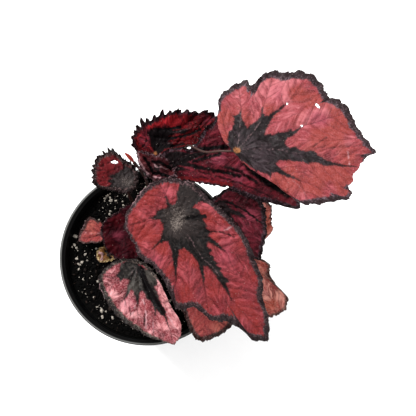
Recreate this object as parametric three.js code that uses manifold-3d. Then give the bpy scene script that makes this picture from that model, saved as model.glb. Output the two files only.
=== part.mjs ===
// Potted rex begonia: a nursery pot filled with soil, a creeping rhizome, and leaves on curved petioles.
// Millimetres, +Z up. The origin is the centre of the pot's underside.

import * as THREE from "three";
import { mergeVertices } from "three/addons/utils/BufferGeometryUtils.js";
import Module from "manifold-3d";

const wasm = await Module();
wasm.setup();

// ---------------------------------------------------------------- driving dimensions

const POT_HEIGHT = 88;
const RIM_RADIUS = 52.5;
const BASE_RADIUS = 37;
const WALL = 1;
const RIM_BAND_HEIGHT = 9;
const RIM_LIP_WIDTH = 2;
const POT_SEGMENTS = 48;
const DRAIN_COUNT = 8;
const DRAIN_RADIUS = 4;
const DRAIN_RING_RADIUS = 29;

const SOIL_BELOW_RIM = 8;
const SOIL_TOP = POT_HEIGHT - SOIL_BELOW_RIM;
const SOIL_RIPPLE = 0.4;
const SOIL_SEGMENTS = 36;
const SOIL_RINGS = 5;
const GRAIN_COUNT = 24;
const GRAIN_SEED = 11;
const GRAIN_RADIUS = { least: 0.8, spread: 0.7 };
const GRAIN_SECTOR = { from: 130, sweep: 170, innermost: 30, wallGap: 6 };

const RHIZOME_CENTRE = new THREE.Vector3(5, 16, SOIL_TOP + 1);
const RHIZOME_AZIMUTH = 34;
const RHIZOME_RADIUS = 5.5;
const RHIZOME_LENGTH = 26;

const BLADE_THICKNESS = 0.8;
const STEEPEST = 0.5;
const FOLD_SOFTNESS = 3;
const VEIN_WIDTH = 2.4;
const CALM_RADIUS = 8;
const CLEARANCE = 0.3;
const JOINT_GAP = 0.45;
const STALK_SIDES = 6;

// ---------------------------------------------------------------- leaves
//
// Each leaf is laid out flat from the point where its petiole joins the blade: u runs along the
// midrib, v to its left. "at" places that point in the pot's frame and "azimuth" turns the midrib.
//   outline, veins   margin points and vein ends in (u, v)
//   hub              the point that all rings of the mesh surround; the joint itself if not given
//   slope, tilt      rise per mm along and across the midrib
//   droop, arch      curvature along and across the midrib
//   right            extra rise per mm of the right half, folded along the midrib; left likewise
//   cup              rise of the whole margin
//   ruffle, waves    height and number of the margin's waves
//   teeth, bite      number and depth of the margin's teeth
//   vein             depth of the vein valleys
//   holes            worn holes: centre, half length, half width, angle
//   spokes           mesh points around the margin
//   stalk            petiole: radius, where it leaves the rhizome (along, lean), points it passes

const FLAT = {
  hub: [0, 0], slope: 0, tilt: 0, droop: 0, arch: 0, left: 0, right: 0, cup: 0, vein: 0, holes: [],
};

const LEAVES = [
  {
    ...FLAT,
    name: "upper_right_leaf",
    colour: "#a8414c",
    at: [54.7, 47.8, 160],
    azimuth: -3,
    outline: [
      [74, 4], [70, 9], [66, 14], [62, 21], [59, 27], [54, 31], [50, 32.5], [48, 32.8], [46, 37], [43, 42],
      [38, 45], [31, 46], [24, 45], [19, 46], [13, 44], [9, 39], [6, 36], [3, 39], [-2, 37], [-7, 33],
      [-11, 28], [-11, 22], [-11, 14], [-8, 6], [-4, 1], [4, -7], [14, -13], [25, -20], [34, -25.6],
      [40, -27], [50, -25], [56, -23], [61, -22], [62, -19], [60, -16], [62, -13], [62, -10], [66, -4],
      [69, 1],
    ],
    veins: [[73, 3], [60, 27], [42, 42], [21, 46], [-3, 37], [-11, 20], [35, -27], [53, -24], [63, -12]],
    slope: -0.1,
    droop: -0.0005,
    arch: -0.001,
    ruffle: 1.2,
    waves: 9,
    teeth: 36,
    bite: 1.2,
    vein: 1.2,
    holes: [[42, 27, 1.9, 0.8, -50]],
    spokes: 80,
    stalk: {
      radius: 1.5,
      along: 13,
      lean: 25,
      through: [
        [21, 37, 101], [24.5, 47.5, 116], [25.8, 55.2, 134], [28.6, 54.6, 141.5], [37.1, 49.4, 148.5],
        [46.6, 48.4, 155],
      ],
    },
  },
  {
    ...FLAT,
    name: "front_leaf",
    colour: "#9c3a44",
    at: [20.4, 11.6, 146],
    azimuth: -51.5,
    outline: [
      [80, 0], [77, 4], [70, 9], [60, 13], [53, 19], [43, 22], [34, 25], [24, 26], [14, 25],
      [3, 23], [-5, 22], [-11, 20], [-15, 17], [-20, 12], [-22, 7], [-23, 1], [-23, -4], [-21, -12],
      [-18, -19], [-13, -23], [-6, -24], [3, -26], [11, -24], [21, -24], [31, -27], [37, -28],
      [42, -20], [53, -17], [58, -11], [68, -7], [75, -6],
    ],
    veins: [
      [79, 0], [56, 14], [35, 24], [18, 26], [-6, 21], [-21, 8], [-21, -14], [-11, -23], [9, -24],
      [35, -27], [59, -11],
    ],
    slope: -0.3,
    droop: -0.0012,
    arch: -0.0035,
    ruffle: 1.2,
    waves: 11,
    teeth: 36,
    bite: 1.1,
    vein: 1.3,
    spokes: 72,
    stalk: { radius: 1.6, along: 5, lean: -35, through: [[14, 11, 105], [18.5, 11.5, 126]] },
  },
  {
    ...FLAT,
    name: "lower_left_leaf",
    colour: "#b0526a",
    at: [-4.4, -7, 102],
    azimuth: -64.7,
    outline: [
      [50, 0], [47, 6], [40, 9], [31, 8], [21, 8], [12, 8], [4, 6], [-1, 3], [-5, -2], [-7, -8],
      [-6, -16], [-2, -22], [4, -24], [11, -24], [19, -23], [27, -20], [35, -15], [41, -11], [46, -5],
    ],
    veins: [[49, 0], [42, 8], [24, 9], [8, 6], [-5, -5], [-3, -19], [6, -24], [21, -22], [36, -13]],
    slope: -0.1,
    droop: -0.0003,
    left: 1.1,
    right: 0.5,
    ruffle: 0.9,
    waves: 9,
    teeth: 24,
    bite: 0.8,
    vein: 0.8,
    spokes: 48,
    stalk: { radius: 1.3, along: -12, lean: -45, through: [[-5, -2, 92]] },
  },
  {
    ...FLAT,
    name: "toothed_upper_leaf",
    colour: "#5c1420",
    at: [7.4, 55.1, 122],
    azimuth: 24,
    outline: [
      [43, -4], [41, 2], [36, 7], [30, 10], [23, 14], [16, 16], [8, 16.5], [2, 16.5], [-5, 15],
      [-9, 12], [-10, 7], [-8, 0], [-4, -5], [2, -6], [8, -6], [13, -4.8], [19, -6], [25, -7.3],
      [31, -8.6], [38, -9],
    ],
    veins: [[42, -4], [32, 9], [22, 14], [10, 16], [-2, 16], [-9, 10], [-7, -2], [11, -5], [29, -8]],
    slope: 0.2,
    arch: 0.012,
    cup: 3,
    ruffle: 1.2,
    waves: 13,
    teeth: 26,
    bite: 2.6,
    vein: 1,
    spokes: 64,
    stalk: { radius: 1.4, along: 3.5, lean: 15, through: [[6.5, 33, 98], [6, 46, 110]] },
  },
  {
    ...FLAT,
    name: "folded_middle_leaf",
    colour: "#6a2431",
    at: [17.6, 42.6, 134],
    azimuth: -13,
    hub: [20, 9.5],
    outline: [
      [74, -5], [71, 2], [64, 12], [55, 22], [45, 30], [35, 36], [26, 38], [20, 35], [17, 30],
      [14, 26], [12.5, 21], [11.6, 17.5], [9.8, 14], [6.8, 11.5], [2.5, 11.1], [-2, 10.8], [-6.5, 8.5],
      [-7.5, 4.5], [-6, 1], [-3, -2], [1, -4], [7, -4], [16, -4], [25, -4], [36, -3], [43, -4],
      [50, -6], [58, -6], [65, -6], [70, -6],
    ],
    veins: [
      [73, -5], [50, -6], [32, -3], [12, -4], [-5, 0], [-6, 8], [12, 20], [21, 35], [41, 33], [58, 18],
      [68, 5],
    ],
    slope: 0.14,
    tilt: 0.12,
    droop: -0.001,
    right: -1.2,
    ruffle: 0.8,
    waves: 10,
    teeth: 32,
    bite: 0.8,
    vein: 0.8,
    spokes: 64,
    stalk: { radius: 1.5, along: 10, lean: 0, through: [[15, 31, 104], [17, 39, 120]] },
  },
  {
    ...FLAT,
    name: "frilled_left_leaf",
    colour: "#5e2a33",
    at: [-10.5, 38.3, 110],
    azimuth: 138,
    outline: [
      [22, 4], [17, 10], [13, 12], [8, 10], [3, 7], [-2, 4], [-5, -1], [-4, -6], [-1, -10],
      [4, -12], [7, -12], [11, -11], [15, -11], [19, -10], [22, -6], [23, -1],
    ],
    veins: [[23, 2], [17, 9], [7, 10], [-4, -3], [3, -11], [11, -11], [21, -8]],
    slope: 0.1,
    droop: 0.003,
    arch: 0.003,
    ruffle: 1.3,
    waves: 11,
    teeth: 24,
    bite: 1.6,
    vein: 0.6,
    holes: [[14.2, -5.8, 2.1, 0.9, 38]],
    spokes: 48,
    stalk: { radius: 1.1, along: -4, lean: 40, through: [[-4, 24, 91], [-9, 32.5, 97]] },
  },
  {
    ...FLAT,
    name: "maroon_left_leaf",
    colour: "#4a1622",
    at: [-0.4, 22.2, 100],
    azimuth: -130,
    outline: [
      [30, 2], [28, 7], [22, 12], [13, 13], [5, 13], [-2, 8], [-5, 2], [-5, -4], [-3, -9],
      [2, -12], [9, -14], [16, -16], [22, -15], [27, -10], [30, -4],
    ],
    veins: [[29, -4], [26, 8], [12, 13], [-2, 8], [-5, -4], [7, -14], [22, -14]],
    slope: -0.15,
    arch: 0.004,
    right: 0.15,
    ruffle: 0.8,
    waves: 8,
    teeth: 20,
    bite: 0.8,
    vein: 0.7,
    spokes: 40,
    stalk: { radius: 1.2, along: -7, lean: -5, through: [] },
  },
  {
    ...FLAT,
    name: "right_side_leaf",
    colour: "#5a1c2b",
    at: [40.5, 21.9, 122],
    azimuth: -43,
    outline: [
      [38, -2], [34, 5], [31, 11], [26, 16], [21, 21], [15, 23], [9, 21], [3, 19], [-2, 16],
      [-4, 10], [-5, 4], [-4, -1], [1, -5], [8, -7], [17, -7], [25, -6], [33, -5],
    ],
    veins: [[37, -1], [28, 14], [15, 22], [-1, 16], [-4, 3], [7, -7], [26, -6]],
    slope: -0.15,
    left: -0.15,
    ruffle: 0.9,
    waves: 9,
    teeth: 24,
    bite: 0.9,
    vein: 0.8,
    spokes: 48,
    stalk: { radius: 1.3, along: 13, lean: -30, through: [[26, 22, 97], [37, 22, 111]] },
  },
  {
    ...FLAT,
    name: "lower_right_leaf",
    colour: "#b5525a",
    at: [55.3, -1.6, 104],
    azimuth: -41,
    outline: [
      [37, -1], [32, 0], [26, 1], [20, 3], [17, 7], [12, 7], [8, 7], [5, 10], [5, 16], [5, 23],
      [0, 28], [-4, 33], [-9, 34], [-12, 30], [-13, 24], [-12, 14], [-10, 4], [-6, -5], [0, -12],
      [7, -16], [14, -20], [22, -21], [30, -19], [37, -15], [40, -7],
    ],
    veins: [[37, -2], [34, -16], [18, -21], [-3, -8], [-7, 33], [17, 5]],
    slope: -0.05,
    arch: 0.001,
    ruffle: 0.9,
    waves: 11,
    teeth: 28,
    bite: 0.9,
    vein: 0.7,
    spokes: 56,
    stalk: { radius: 1.2, along: 9, lean: -60, through: [[22, 11, 90], [42, 2, 95]] },
  },
  {
    ...FLAT,
    name: "bottom_leaf",
    colour: "#a84a55",
    at: [36.7, -17.9, 100],
    azimuth: -92,
    outline: [
      [33, -2], [30, 6], [25, 13], [19, 17], [12, 18], [4, 16], [-1, 12], [-4, 5], [-4, -2],
      [-1, -9], [5, -13], [12, -15], [19, -13], [26, -10], [31, -7],
    ],
    veins: [[33, -2], [22, -12], [9, -14], [-4, -2], [1, 14], [16, 17], [28, 9]],
    slope: -0.12,
    arch: 0.002,
    ruffle: 1,
    waves: 8,
    teeth: 24,
    bite: 0.8,
    vein: 0.7,
    spokes: 48,
    stalk: { radius: 1.2, along: 0, lean: -60, through: [[16, 3, 90], [28, -10, 93]] },
  },
  {
    ...FLAT,
    name: "crumpled_young_leaf",
    colour: "#7a3f49",
    at: [10.2, 42.9, 138.5],
    azimuth: 155,
    outline: [
      [14, -4], [12, 0], [8, 4], [4, 6], [0, 7], [-5, 6], [-9, 3], [-11, -1], [-8, -4], [-4, -7],
      [2, -6], [8, -6],
    ],
    veins: [[13, -3], [6, 5], [-5, 5], [-10, -1], [-2, -7], [7, -5]],
    arch: 0.01,
    ruffle: 1.3,
    waves: 7,
    teeth: 20,
    bite: 1,
    vein: 0.5,
    spokes: 40,
    stalk: { radius: 1, along: 7, lean: 10, through: [[11.5, 30, 100], [11.5, 38, 117]] },
  },
  {
    ...FLAT,
    name: "soil_level_leaf",
    colour: "#c4707a",
    at: [-27.2, 15, 85.5],
    azimuth: 178,
    outline: [[15, 0], [12, 5], [7, 6], [2, 5], [-2, 2], [-2, -3], [2, -7], [6, -9], [10, -7], [13, -4]],
    veins: [[14, 0], [9, -8], [1, -6], [2, 4], [10, 5]],
    slope: 0.1,
    arch: 0.01,
    ruffle: 0.5,
    waves: 5,
    teeth: 16,
    bite: 0.5,
    vein: 0.3,
    spokes: 32,
    stalk: { radius: 0.9, along: -13, lean: 60, through: [[-15, 16, 84]] },
  },
];

const DRIED_LEAF = {
  ...FLAT,
  name: "dried_leaf",
  colour: "#8a7440",
  at: [-23, 3, SOIL_TOP + 1.6],
  azimuth: 200,
  outline: [[9, 0], [7, 4], [1, 5], [-4, 4], [-6, 0], [-4, -4], [2, -5], [7, -4]],
  veins: [[9, 0], [2, 5], [2, -5]],
  slope: 0.05,
  arch: 0.03,
  right: 0.2,
  ruffle: 0.5,
  waves: 4,
  teeth: 12,
  bite: 0.6,
  spokes: 24,
};

// The red bud: an unopened leaf wrapped in its stipule, on a thin stalk of its own.
const BUD = {
  at: [-5, 50.5, 118],
  tip: [-10.1, 55.1, 124],
  radius: 1.2,
  stalk: { radius: 0.9, along: 0, lean: 25, through: [[2, 31, 95], [1, 42, 106]] },
};

// ---------------------------------------------------------------- shared helpers

const radians = THREE.MathUtils.degToRad;

function named(name, geometry, colour, roughness) {
  const material = new THREE.MeshStandardMaterial({ color: colour, roughness, metalness: 0 });
  const mesh = new THREE.Mesh(geometry, material);
  mesh.name = name;
  return mesh;
}

function toSolid(geometry) {
  const bare = geometry.clone();
  bare.deleteAttribute("normal");
  bare.deleteAttribute("uv");
  const merged = mergeVertices(bare, 1e-4);
  return new wasm.Manifold(new wasm.Mesh({
    numProp: 3,
    vertProperties: Float32Array.from(merged.attributes.position.array),
    triVerts: Uint32Array.from(merged.index.array),
  }));
}

function toGeometry(solid) {
  const mesh = solid.getMesh();
  const geometry = new THREE.BufferGeometry();
  geometry.setAttribute("position", new THREE.BufferAttribute(mesh.vertProperties, 3));
  geometry.setIndex(new THREE.BufferAttribute(mesh.triVerts, 1));
  geometry.computeVertexNormals();
  return geometry;
}

// A small repeatable draw of numbers from 0 to 1.
function draws(seed) {
  let state = seed;
  return () => {
    state = (state * 16807) % 2147483647;
    return state / 2147483647;
  };
}

// A profile of [radius, height] points, turned about +Z.
function turned(profile, segments) {
  const points = profile.map(([radius, height]) => new THREE.Vector2(radius, height));
  return new THREE.LatheGeometry(points, segments).rotateX(Math.PI / 2);
}

// ---------------------------------------------------------------- pot and soil

const WALL_TOP_RADIUS = RIM_RADIUS - RIM_LIP_WIDTH;
const BAND_BOTTOM = POT_HEIGHT - RIM_BAND_HEIGHT;

// Outer radius of the tapered wall at a height.
function wallRadius(height) {
  return BASE_RADIUS + (WALL_TOP_RADIUS - BASE_RADIUS) * (height / POT_HEIGHT);
}

function pot() {
  const profile = [
    [0, 0],
    [BASE_RADIUS - 1, 0],
    [BASE_RADIUS, 1],
    [wallRadius(BAND_BOTTOM), BAND_BOTTOM],
    [RIM_RADIUS - 1.2, BAND_BOTTOM + 0.6],
    [RIM_RADIUS, POT_HEIGHT - 1.4],
    [RIM_RADIUS - 0.7, POT_HEIGHT],
    [RIM_RADIUS - RIM_LIP_WIDTH, POT_HEIGHT],
    [wallRadius(BAND_BOTTOM) - WALL, BAND_BOTTOM],
    [wallRadius(WALL) - WALL, WALL],
    [0, WALL],
  ];
  let solid = toSolid(turned(profile, POT_SEGMENTS));
  for (let i = 0; i < DRAIN_COUNT; i += 1) {
    const angle = (i + 0.5) * (2 * Math.PI / DRAIN_COUNT);
    const hole = new THREE.CylinderGeometry(DRAIN_RADIUS, DRAIN_RADIUS, 4 * WALL, 12).rotateX(Math.PI / 2);
    hole.translate(DRAIN_RING_RADIUS * Math.cos(angle), DRAIN_RING_RADIUS * Math.sin(angle), WALL / 2);
    solid = solid.subtract(toSolid(hole));
  }
  return named("nursery_pot", toGeometry(solid), "#17181a", 0.6);
}

// Height of the loose soil surface.
function soilHeight(x, y) {
  const broad = Math.sin(x * 0.21 + 1.3) * Math.cos(y * 0.17);
  const fine = Math.sin(x * 0.63 + y * 0.37) * Math.sin(y * 0.71);
  return SOIL_TOP + SOIL_RIPPLE * (0.6 * broad + 0.4 * fine);
}

function soilBody() {
  const floor = WALL + CLEARANCE;
  const top = wallRadius(SOIL_TOP) - WALL - CLEARANCE;
  const profile = [[0, floor], [wallRadius(floor) - WALL - CLEARANCE, floor]];
  for (let i = SOIL_RINGS; i >= 0; i -= 1) {
    profile.push([top * i / SOIL_RINGS, SOIL_TOP]);
  }
  const geometry = turned(profile, SOIL_SEGMENTS);
  const position = geometry.attributes.position;
  for (let i = 0; i < position.count; i += 1) {
    const x = position.getX(i);
    const y = position.getY(i);
    if (position.getZ(i) > SOIL_TOP - 0.01) {
      position.setZ(i, soilHeight(x, y));
    }
  }
  return toSolid(geometry);
}

function rhizomeCapsule(radius) {
  const capsule = new THREE.CapsuleGeometry(radius, RHIZOME_LENGTH, 4, 14);
  capsule.rotateZ(Math.PI / 2 + radians(RHIZOME_AZIMUTH));
  capsule.translate(...RHIZOME_CENTRE.toArray());
  return capsule;
}

// Pale mineral grains, half sunk in the open part of the soil.
function addGrains(soil) {
  const draw = draws(GRAIN_SEED);
  const { from, sweep, innermost, wallGap } = GRAIN_SECTOR;
  const outermost = wallRadius(SOIL_TOP) - wallGap;
  let solid = soil;
  for (let i = 0; i < GRAIN_COUNT; i += 1) {
    const angle = radians(from + sweep * draw());
    const reach = innermost + (outermost - innermost) * draw();
    const radius = GRAIN_RADIUS.least + GRAIN_RADIUS.spread * draw();
    const grain = new THREE.IcosahedronGeometry(radius, 0).rotateX(3 * draw());
    const x = reach * Math.cos(angle);
    const y = reach * Math.sin(angle);
    grain.translate(x, y, soilHeight(x, y) - 0.1);
    solid = solid.add(toSolid(grain));
  }
  return solid;
}

function soil() {
  const hollowed = soilBody().subtract(toSolid(rhizomeCapsule(RHIZOME_RADIUS + CLEARANCE)));
  return named("potting_soil", toGeometry(addGrains(hollowed)), "#241d19", 0.95);
}

function rhizome() {
  return named("rhizome", rhizomeCapsule(RHIZOME_RADIUS), "#6b4632", 0.8);
}

// ---------------------------------------------------------------- leaf blades

// Smooth one-sided ramp: 0 on the far side of the fold, x on the near side.
function ramp(x) {
  return (Math.hypot(x, FOLD_SOFTNESS) + x - FOLD_SOFTNESS) / 2;
}

// 1 in the bottom of a vein valley, falling to 0 between the veins.
function valley(leaf, u, v) {
  const depths = leaf.veins.map(([endU, endV]) => {
    const length = Math.hypot(endU, endV);
    const behind = Math.max(0, -(u * endU + v * endV) / length);
    const across = (u * endV - v * endU) / length;
    return Math.exp(-((Math.hypot(across, behind) / VEIN_WIDTH) ** 2));
  });
  return Math.max(...depths);
}

// Height of a blade over its petiole joint. t runs from 0 at the hub to 1 at the margin,
// s runs once around the margin. The ruffle dies away round the joint.
function bladeHeight(leaf, u, v, t, s) {
  let height = leaf.slope * u + leaf.tilt * v + leaf.droop * u * u + leaf.arch * v * v;
  height += leaf.left * ramp(v) + leaf.right * ramp(-v);
  height += leaf.cup * t ** 3;
  const away = 1 - Math.exp(-((Math.hypot(u, v) / CALM_RADIUS) ** 2));
  height += leaf.ruffle * away * t ** 4 * Math.sin(2 * Math.PI * leaf.waves * s);
  return height - leaf.vein * (1.1 - t) * valley(leaf, u, v);
}

// Margin points from the hub, evenly spaced, with teeth cut by a triangular wave of uneven depth.
function marginPoints(leaf) {
  const curve = new THREE.CatmullRomCurve3(
    leaf.outline.map(([u, v]) => new THREE.Vector3(u, v, 0)),
    true,
    "catmullrom",
    0.5,
  );
  const points = curve.getSpacedPoints(leaf.spokes).slice(0, leaf.spokes);
  const hub = new THREE.Vector3(...leaf.hub, 0);
  return points.map((point, i) => {
    const s = i / leaf.spokes;
    const wave = 4 * Math.abs(((leaf.teeth * s) % 1) - 0.5) - 1;
    const uneven = 0.75 + 0.25 * Math.sin(2 * Math.PI * 5 * s + 1);
    const arm = point.sub(hub);
    return arm.setLength(arm.length() + 0.5 * leaf.bite * wave * uneven);
  });
}

// Rings of the blade from the hub outwards: how far out, and what share of the spokes each has.
const RINGS = [
  { reach: 0.14, share: 4 },
  { reach: 0.34, share: 2 },
  { reach: 0.58, share: 2 },
  { reach: 0.8, share: 1 },
  { reach: 1, share: 1 },
];

// Triangles between an inner ring and an outer one with as many, or twice as many, points.
function ringTriangles(inner, outer) {
  const triangles = [];
  const doubled = outer.length === 2 * inner.length;
  inner.forEach((a, k) => {
    const b = inner[(k + 1) % inner.length];
    if (doubled) {
      const [p, q, r] = [outer[2 * k], outer[2 * k + 1], outer[(2 * k + 2) % outer.length]];
      triangles.push([a, p, q], [a, q, b], [b, q, r]);
    } else {
      const [p, q] = [outer[k], outer[(k + 1) % outer.length]];
      triangles.push([a, p, q], [a, q, b]);
    }
  });
  return triangles;
}

// The middle surface of a blade: its points, ring by ring from the hub, and its triangles.
function bladeSheet(leaf) {
  const margin = marginPoints(leaf);
  const [hubU, hubV] = leaf.hub;
  const middle = [new THREE.Vector3(hubU, hubV, bladeHeight(leaf, hubU, hubV, 0, 0))];
  const rings = RINGS.map(({ reach, share }) => {
    const ring = [];
    for (let k = 0; k < leaf.spokes; k += share) {
      const u = hubU + margin[k].x * reach;
      const v = hubV + margin[k].y * reach;
      ring.push(middle.length);
      middle.push(new THREE.Vector3(u, v, bladeHeight(leaf, u, v, reach, k / leaf.spokes)));
    }
    return ring;
  });
  const triangles = rings[0].map((a, k) => [0, a, rings[0][(k + 1) % rings[0].length]]);
  for (let i = 1; i < rings.length; i += 1) {
    triangles.push(...ringTriangles(rings[i - 1], rings[i]));
  }
  return { middle, rings, triangles };
}

// The blade's two faces lie straight above and below the middle surface, so they never cross,
// and further apart where it is steep, so its thickness stays even.
function bladeGeometry(leaf) {
  const { middle, rings, triangles } = bladeSheet(leaf);
  const sheet = new THREE.BufferGeometry().setFromPoints(middle);
  sheet.setIndex(triangles.flat());
  sheet.computeVertexNormals();
  const normal = new THREE.Vector3();
  const points = [];
  for (const side of [0.5, -0.5]) {
    middle.forEach((point, i) => {
      normal.fromBufferAttribute(sheet.attributes.normal, i);
      const lift = side * BLADE_THICKNESS / Math.max(normal.z, STEEPEST);
      points.push(new THREE.Vector3(point.x, point.y, point.z + lift));
    });
  }

  const under = middle.length;
  const faces = [...triangles];
  triangles.forEach(([a, b, c]) => faces.push([a + under, c + under, b + under]));
  const edge = rings[rings.length - 1];
  edge.forEach((a, k) => {
    const b = edge[(k + 1) % edge.length];
    faces.push([a, a + under, b + under], [a, b + under, b]);
  });
  const blade = new THREE.BufferGeometry().setFromPoints(points);
  blade.setIndex(faces.flat());
  blade.computeVertexNormals();
  return blade;
}

function placeLeaf(object, leaf) {
  object.rotation.z = radians(leaf.azimuth);
  object.position.set(...leaf.at);
  return object;
}

function pierced(geometry, leaf) {
  let solid = toSolid(geometry);
  for (const [u, v, halfLength, halfWidth, angle] of leaf.holes) {
    const hole = new THREE.CylinderGeometry(1, 1, 12, 8).rotateX(Math.PI / 2);
    hole.scale(halfLength, halfWidth, 1).rotateZ(radians(angle));
    hole.translate(u, v, bladeHeight(leaf, u, v, 0.7, 0));
    solid = solid.subtract(toSolid(hole));
  }
  return toGeometry(solid);
}

function blade(leaf) {
  const suffix = leaf.stalk ? "_blade" : "";
  const geometry = leaf.holes.length > 0 ? pierced(bladeGeometry(leaf), leaf) : bladeGeometry(leaf);
  return placeLeaf(named(leaf.name + suffix, geometry, leaf.colour, 0.55), leaf);
}

// ---------------------------------------------------------------- petioles

// A point just off the rhizome's surface and the direction straight out of it there.
function rhizomePoint({ along, lean }) {
  const azimuth = radians(RHIZOME_AZIMUTH);
  const axis = new THREE.Vector3(Math.cos(azimuth), Math.sin(azimuth), 0);
  const side = new THREE.Vector3(-axis.y, axis.x, 0);
  const out = side.multiplyScalar(Math.sin(radians(lean)));
  out.z = Math.cos(radians(lean));
  const point = RHIZOME_CENTRE.clone().addScaledVector(axis, along);
  return { point: point.addScaledVector(out, RHIZOME_RADIUS + CLEARANCE), out };
}

// The upward normal of a blade at its petiole joint.
function jointNormal(leaf) {
  const step = 0.5;
  const du = bladeHeight(leaf, step, 0, 0, 0) - bladeHeight(leaf, -step, 0, 0, 0);
  const dv = bladeHeight(leaf, 0, step, 0, 0) - bladeHeight(leaf, 0, -step, 0, 0);
  const normal = new THREE.Vector3(-du, -dv, 2 * step).normalize();
  return normal.applyAxisAngle(new THREE.Vector3(0, 0, 1), radians(leaf.azimuth));
}

function stalkTube(points, radius) {
  const curve = new THREE.CatmullRomCurve3(points, false, "centripetal");
  const corners = [];
  for (let i = 0; i < STALK_SIDES; i += 1) {
    const angle = 2 * Math.PI * i / STALK_SIDES;
    corners.push(new THREE.Vector2(radius * Math.cos(angle), radius * Math.sin(angle)));
  }
  const section = new THREE.Shape(corners);
  const steps = 2 * points.length + 1;
  return new THREE.ExtrudeGeometry(section, { steps, bevelEnabled: false, extrudePath: curve });
}

function stalkPoints(stalk, end, upward) {
  const { point, out } = rhizomePoint(stalk);
  return [
    point,
    point.clone().addScaledVector(out, 3),
    ...stalk.through.map((place) => new THREE.Vector3(...place)),
    end.clone().addScaledVector(upward, -1.5 * stalk.radius),
    end,
  ];
}

// The point of a blade's middle surface straight above or below its petiole joint.
function jointPoint(leaf) {
  const { middle, triangles } = bladeSheet(leaf);
  const origin = new THREE.Vector3();
  const flat = (i) => new THREE.Vector3(middle[i].x, middle[i].y, 0);
  for (const corners of triangles) {
    const share = THREE.Triangle.getBarycoord(origin, ...corners.map(flat), new THREE.Vector3());
    if (share && Math.min(share.x, share.y, share.z) > -1e-9) {
      const [a, b, c] = corners.map((i) => middle[i].z);
      return new THREE.Vector3(0, 0, share.x * a + share.y * b + share.z * c);
    }
  }
  throw new Error(leaf.name + ": the joint lies outside the blade");
}

function petiole(leaf) {
  const normal = jointNormal(leaf);
  const joint = jointPoint(leaf).add(new THREE.Vector3(...leaf.at));
  const end = joint.addScaledVector(normal, -(BLADE_THICKNESS / 2 + JOINT_GAP));
  const geometry = stalkTube(stalkPoints(leaf.stalk, end, normal), leaf.stalk.radius);
  return named(leaf.name + "_petiole", geometry, "#8c4b40", 0.7);
}

function bud() {
  const foot = new THREE.Vector3(...BUD.at);
  const tip = new THREE.Vector3(...BUD.tip);
  const axis = tip.clone().sub(foot);
  const length = axis.length();
  axis.normalize();
  const profile = [[0, 0], [0.6, 0.15], [1, 0.4], [0.7, 0.75], [0, 1]];
  const spindle = turned(profile.map(([r, h]) => [r * BUD.radius, h * length]), 10);
  spindle.applyQuaternion(new THREE.Quaternion().setFromUnitVectors(new THREE.Vector3(0, 0, 1), axis));
  spindle.translate(...BUD.at);
  const end = foot.clone().addScaledVector(axis, -CLEARANCE);
  const stalk = stalkTube(stalkPoints(BUD.stalk, end, axis), BUD.stalk.radius);
  return [
    named("red_bud", spindle, "#c8322a", 0.5),
    named("red_bud_stalk", stalk, "#8c4b40", 0.7),
  ];
}

// ---------------------------------------------------------------- the whole plant

const group = new THREE.Group();
group.add(pot(), soil(), rhizome());
for (const leaf of LEAVES) {
  group.add(blade(leaf), petiole(leaf));
}
group.add(blade(DRIED_LEAF), ...bud());

export default group;
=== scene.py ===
# Potted rex begonia seen from above: the living leaves, petioles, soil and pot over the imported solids.
# Tables are in millimetres and degrees, meshes in metres; +Z is up and the pot stands on z = 0.

import math

import bmesh
import bpy
import numpy as np
from mathutils import Matrix, Vector


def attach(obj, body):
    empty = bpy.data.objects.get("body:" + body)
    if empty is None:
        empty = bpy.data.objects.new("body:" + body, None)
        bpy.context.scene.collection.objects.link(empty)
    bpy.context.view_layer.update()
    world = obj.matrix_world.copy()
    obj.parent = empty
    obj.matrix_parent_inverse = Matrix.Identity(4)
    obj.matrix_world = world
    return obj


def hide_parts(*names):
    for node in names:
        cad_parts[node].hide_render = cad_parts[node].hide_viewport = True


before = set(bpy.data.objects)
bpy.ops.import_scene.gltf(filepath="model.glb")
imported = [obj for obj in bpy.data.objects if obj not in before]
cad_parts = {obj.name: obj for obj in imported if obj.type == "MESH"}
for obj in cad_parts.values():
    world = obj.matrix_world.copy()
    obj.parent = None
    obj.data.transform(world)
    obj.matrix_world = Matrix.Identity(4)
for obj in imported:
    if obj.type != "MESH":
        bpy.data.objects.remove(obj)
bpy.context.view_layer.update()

MM = 0.001

# ---------------------------------------------------------------- camera, light and floor

# The camera was fitted to the pot's rim and the leaves: its place, its tilt off the vertical and the
# side it stands on.
IMAGE_SIDE = 416
FOCAL_PIXELS = 1002.99
SENSOR_MM = 36
EYE = Vector((62.507, -69.624, 679.298)) * MM
EYE_TILT = math.radians(9.770)
EYE_AZIMUTH = math.radians(-74.978)


def add_camera():
    """A pin-hole camera almost straight above the plant, with the photograph's up direction at +Y."""
    camera = bpy.data.cameras.new("camera")
    camera.sensor_width = SENSOR_MM
    camera.lens = FOCAL_PIXELS / IMAGE_SIDE * SENSOR_MM
    camera.clip_start = 0.01
    camera.clip_end = 20
    back = Vector((
        math.sin(EYE_TILT) * math.cos(EYE_AZIMUTH),
        math.sin(EYE_TILT) * math.sin(EYE_AZIMUTH),
        math.cos(EYE_TILT),
    ))
    right = Vector((0, 1, 0)).cross(back).normalized()
    up = back.cross(right)
    turn = Matrix((right, up, back)).transposed()
    seen = bpy.data.objects.new("camera", camera)
    seen.matrix_world = Matrix.Translation(EYE) @ turn.to_4x4()
    bpy.context.scene.collection.objects.link(seen)
    bpy.context.scene.camera = seen


SOFTBOXES = [
    # name, place, what it points at and size in metres, watts
    ("key_softbox", (-0.62, 0.62, 1.05), (0.03, 0.02, 0.1), 0.4, 27),
    ("fill_softbox", (0.9, -0.5, 1.0), (0.08, -0.05, 0.1), 1.0, 12),
]
SKY_STRENGTH = 0.8


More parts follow.
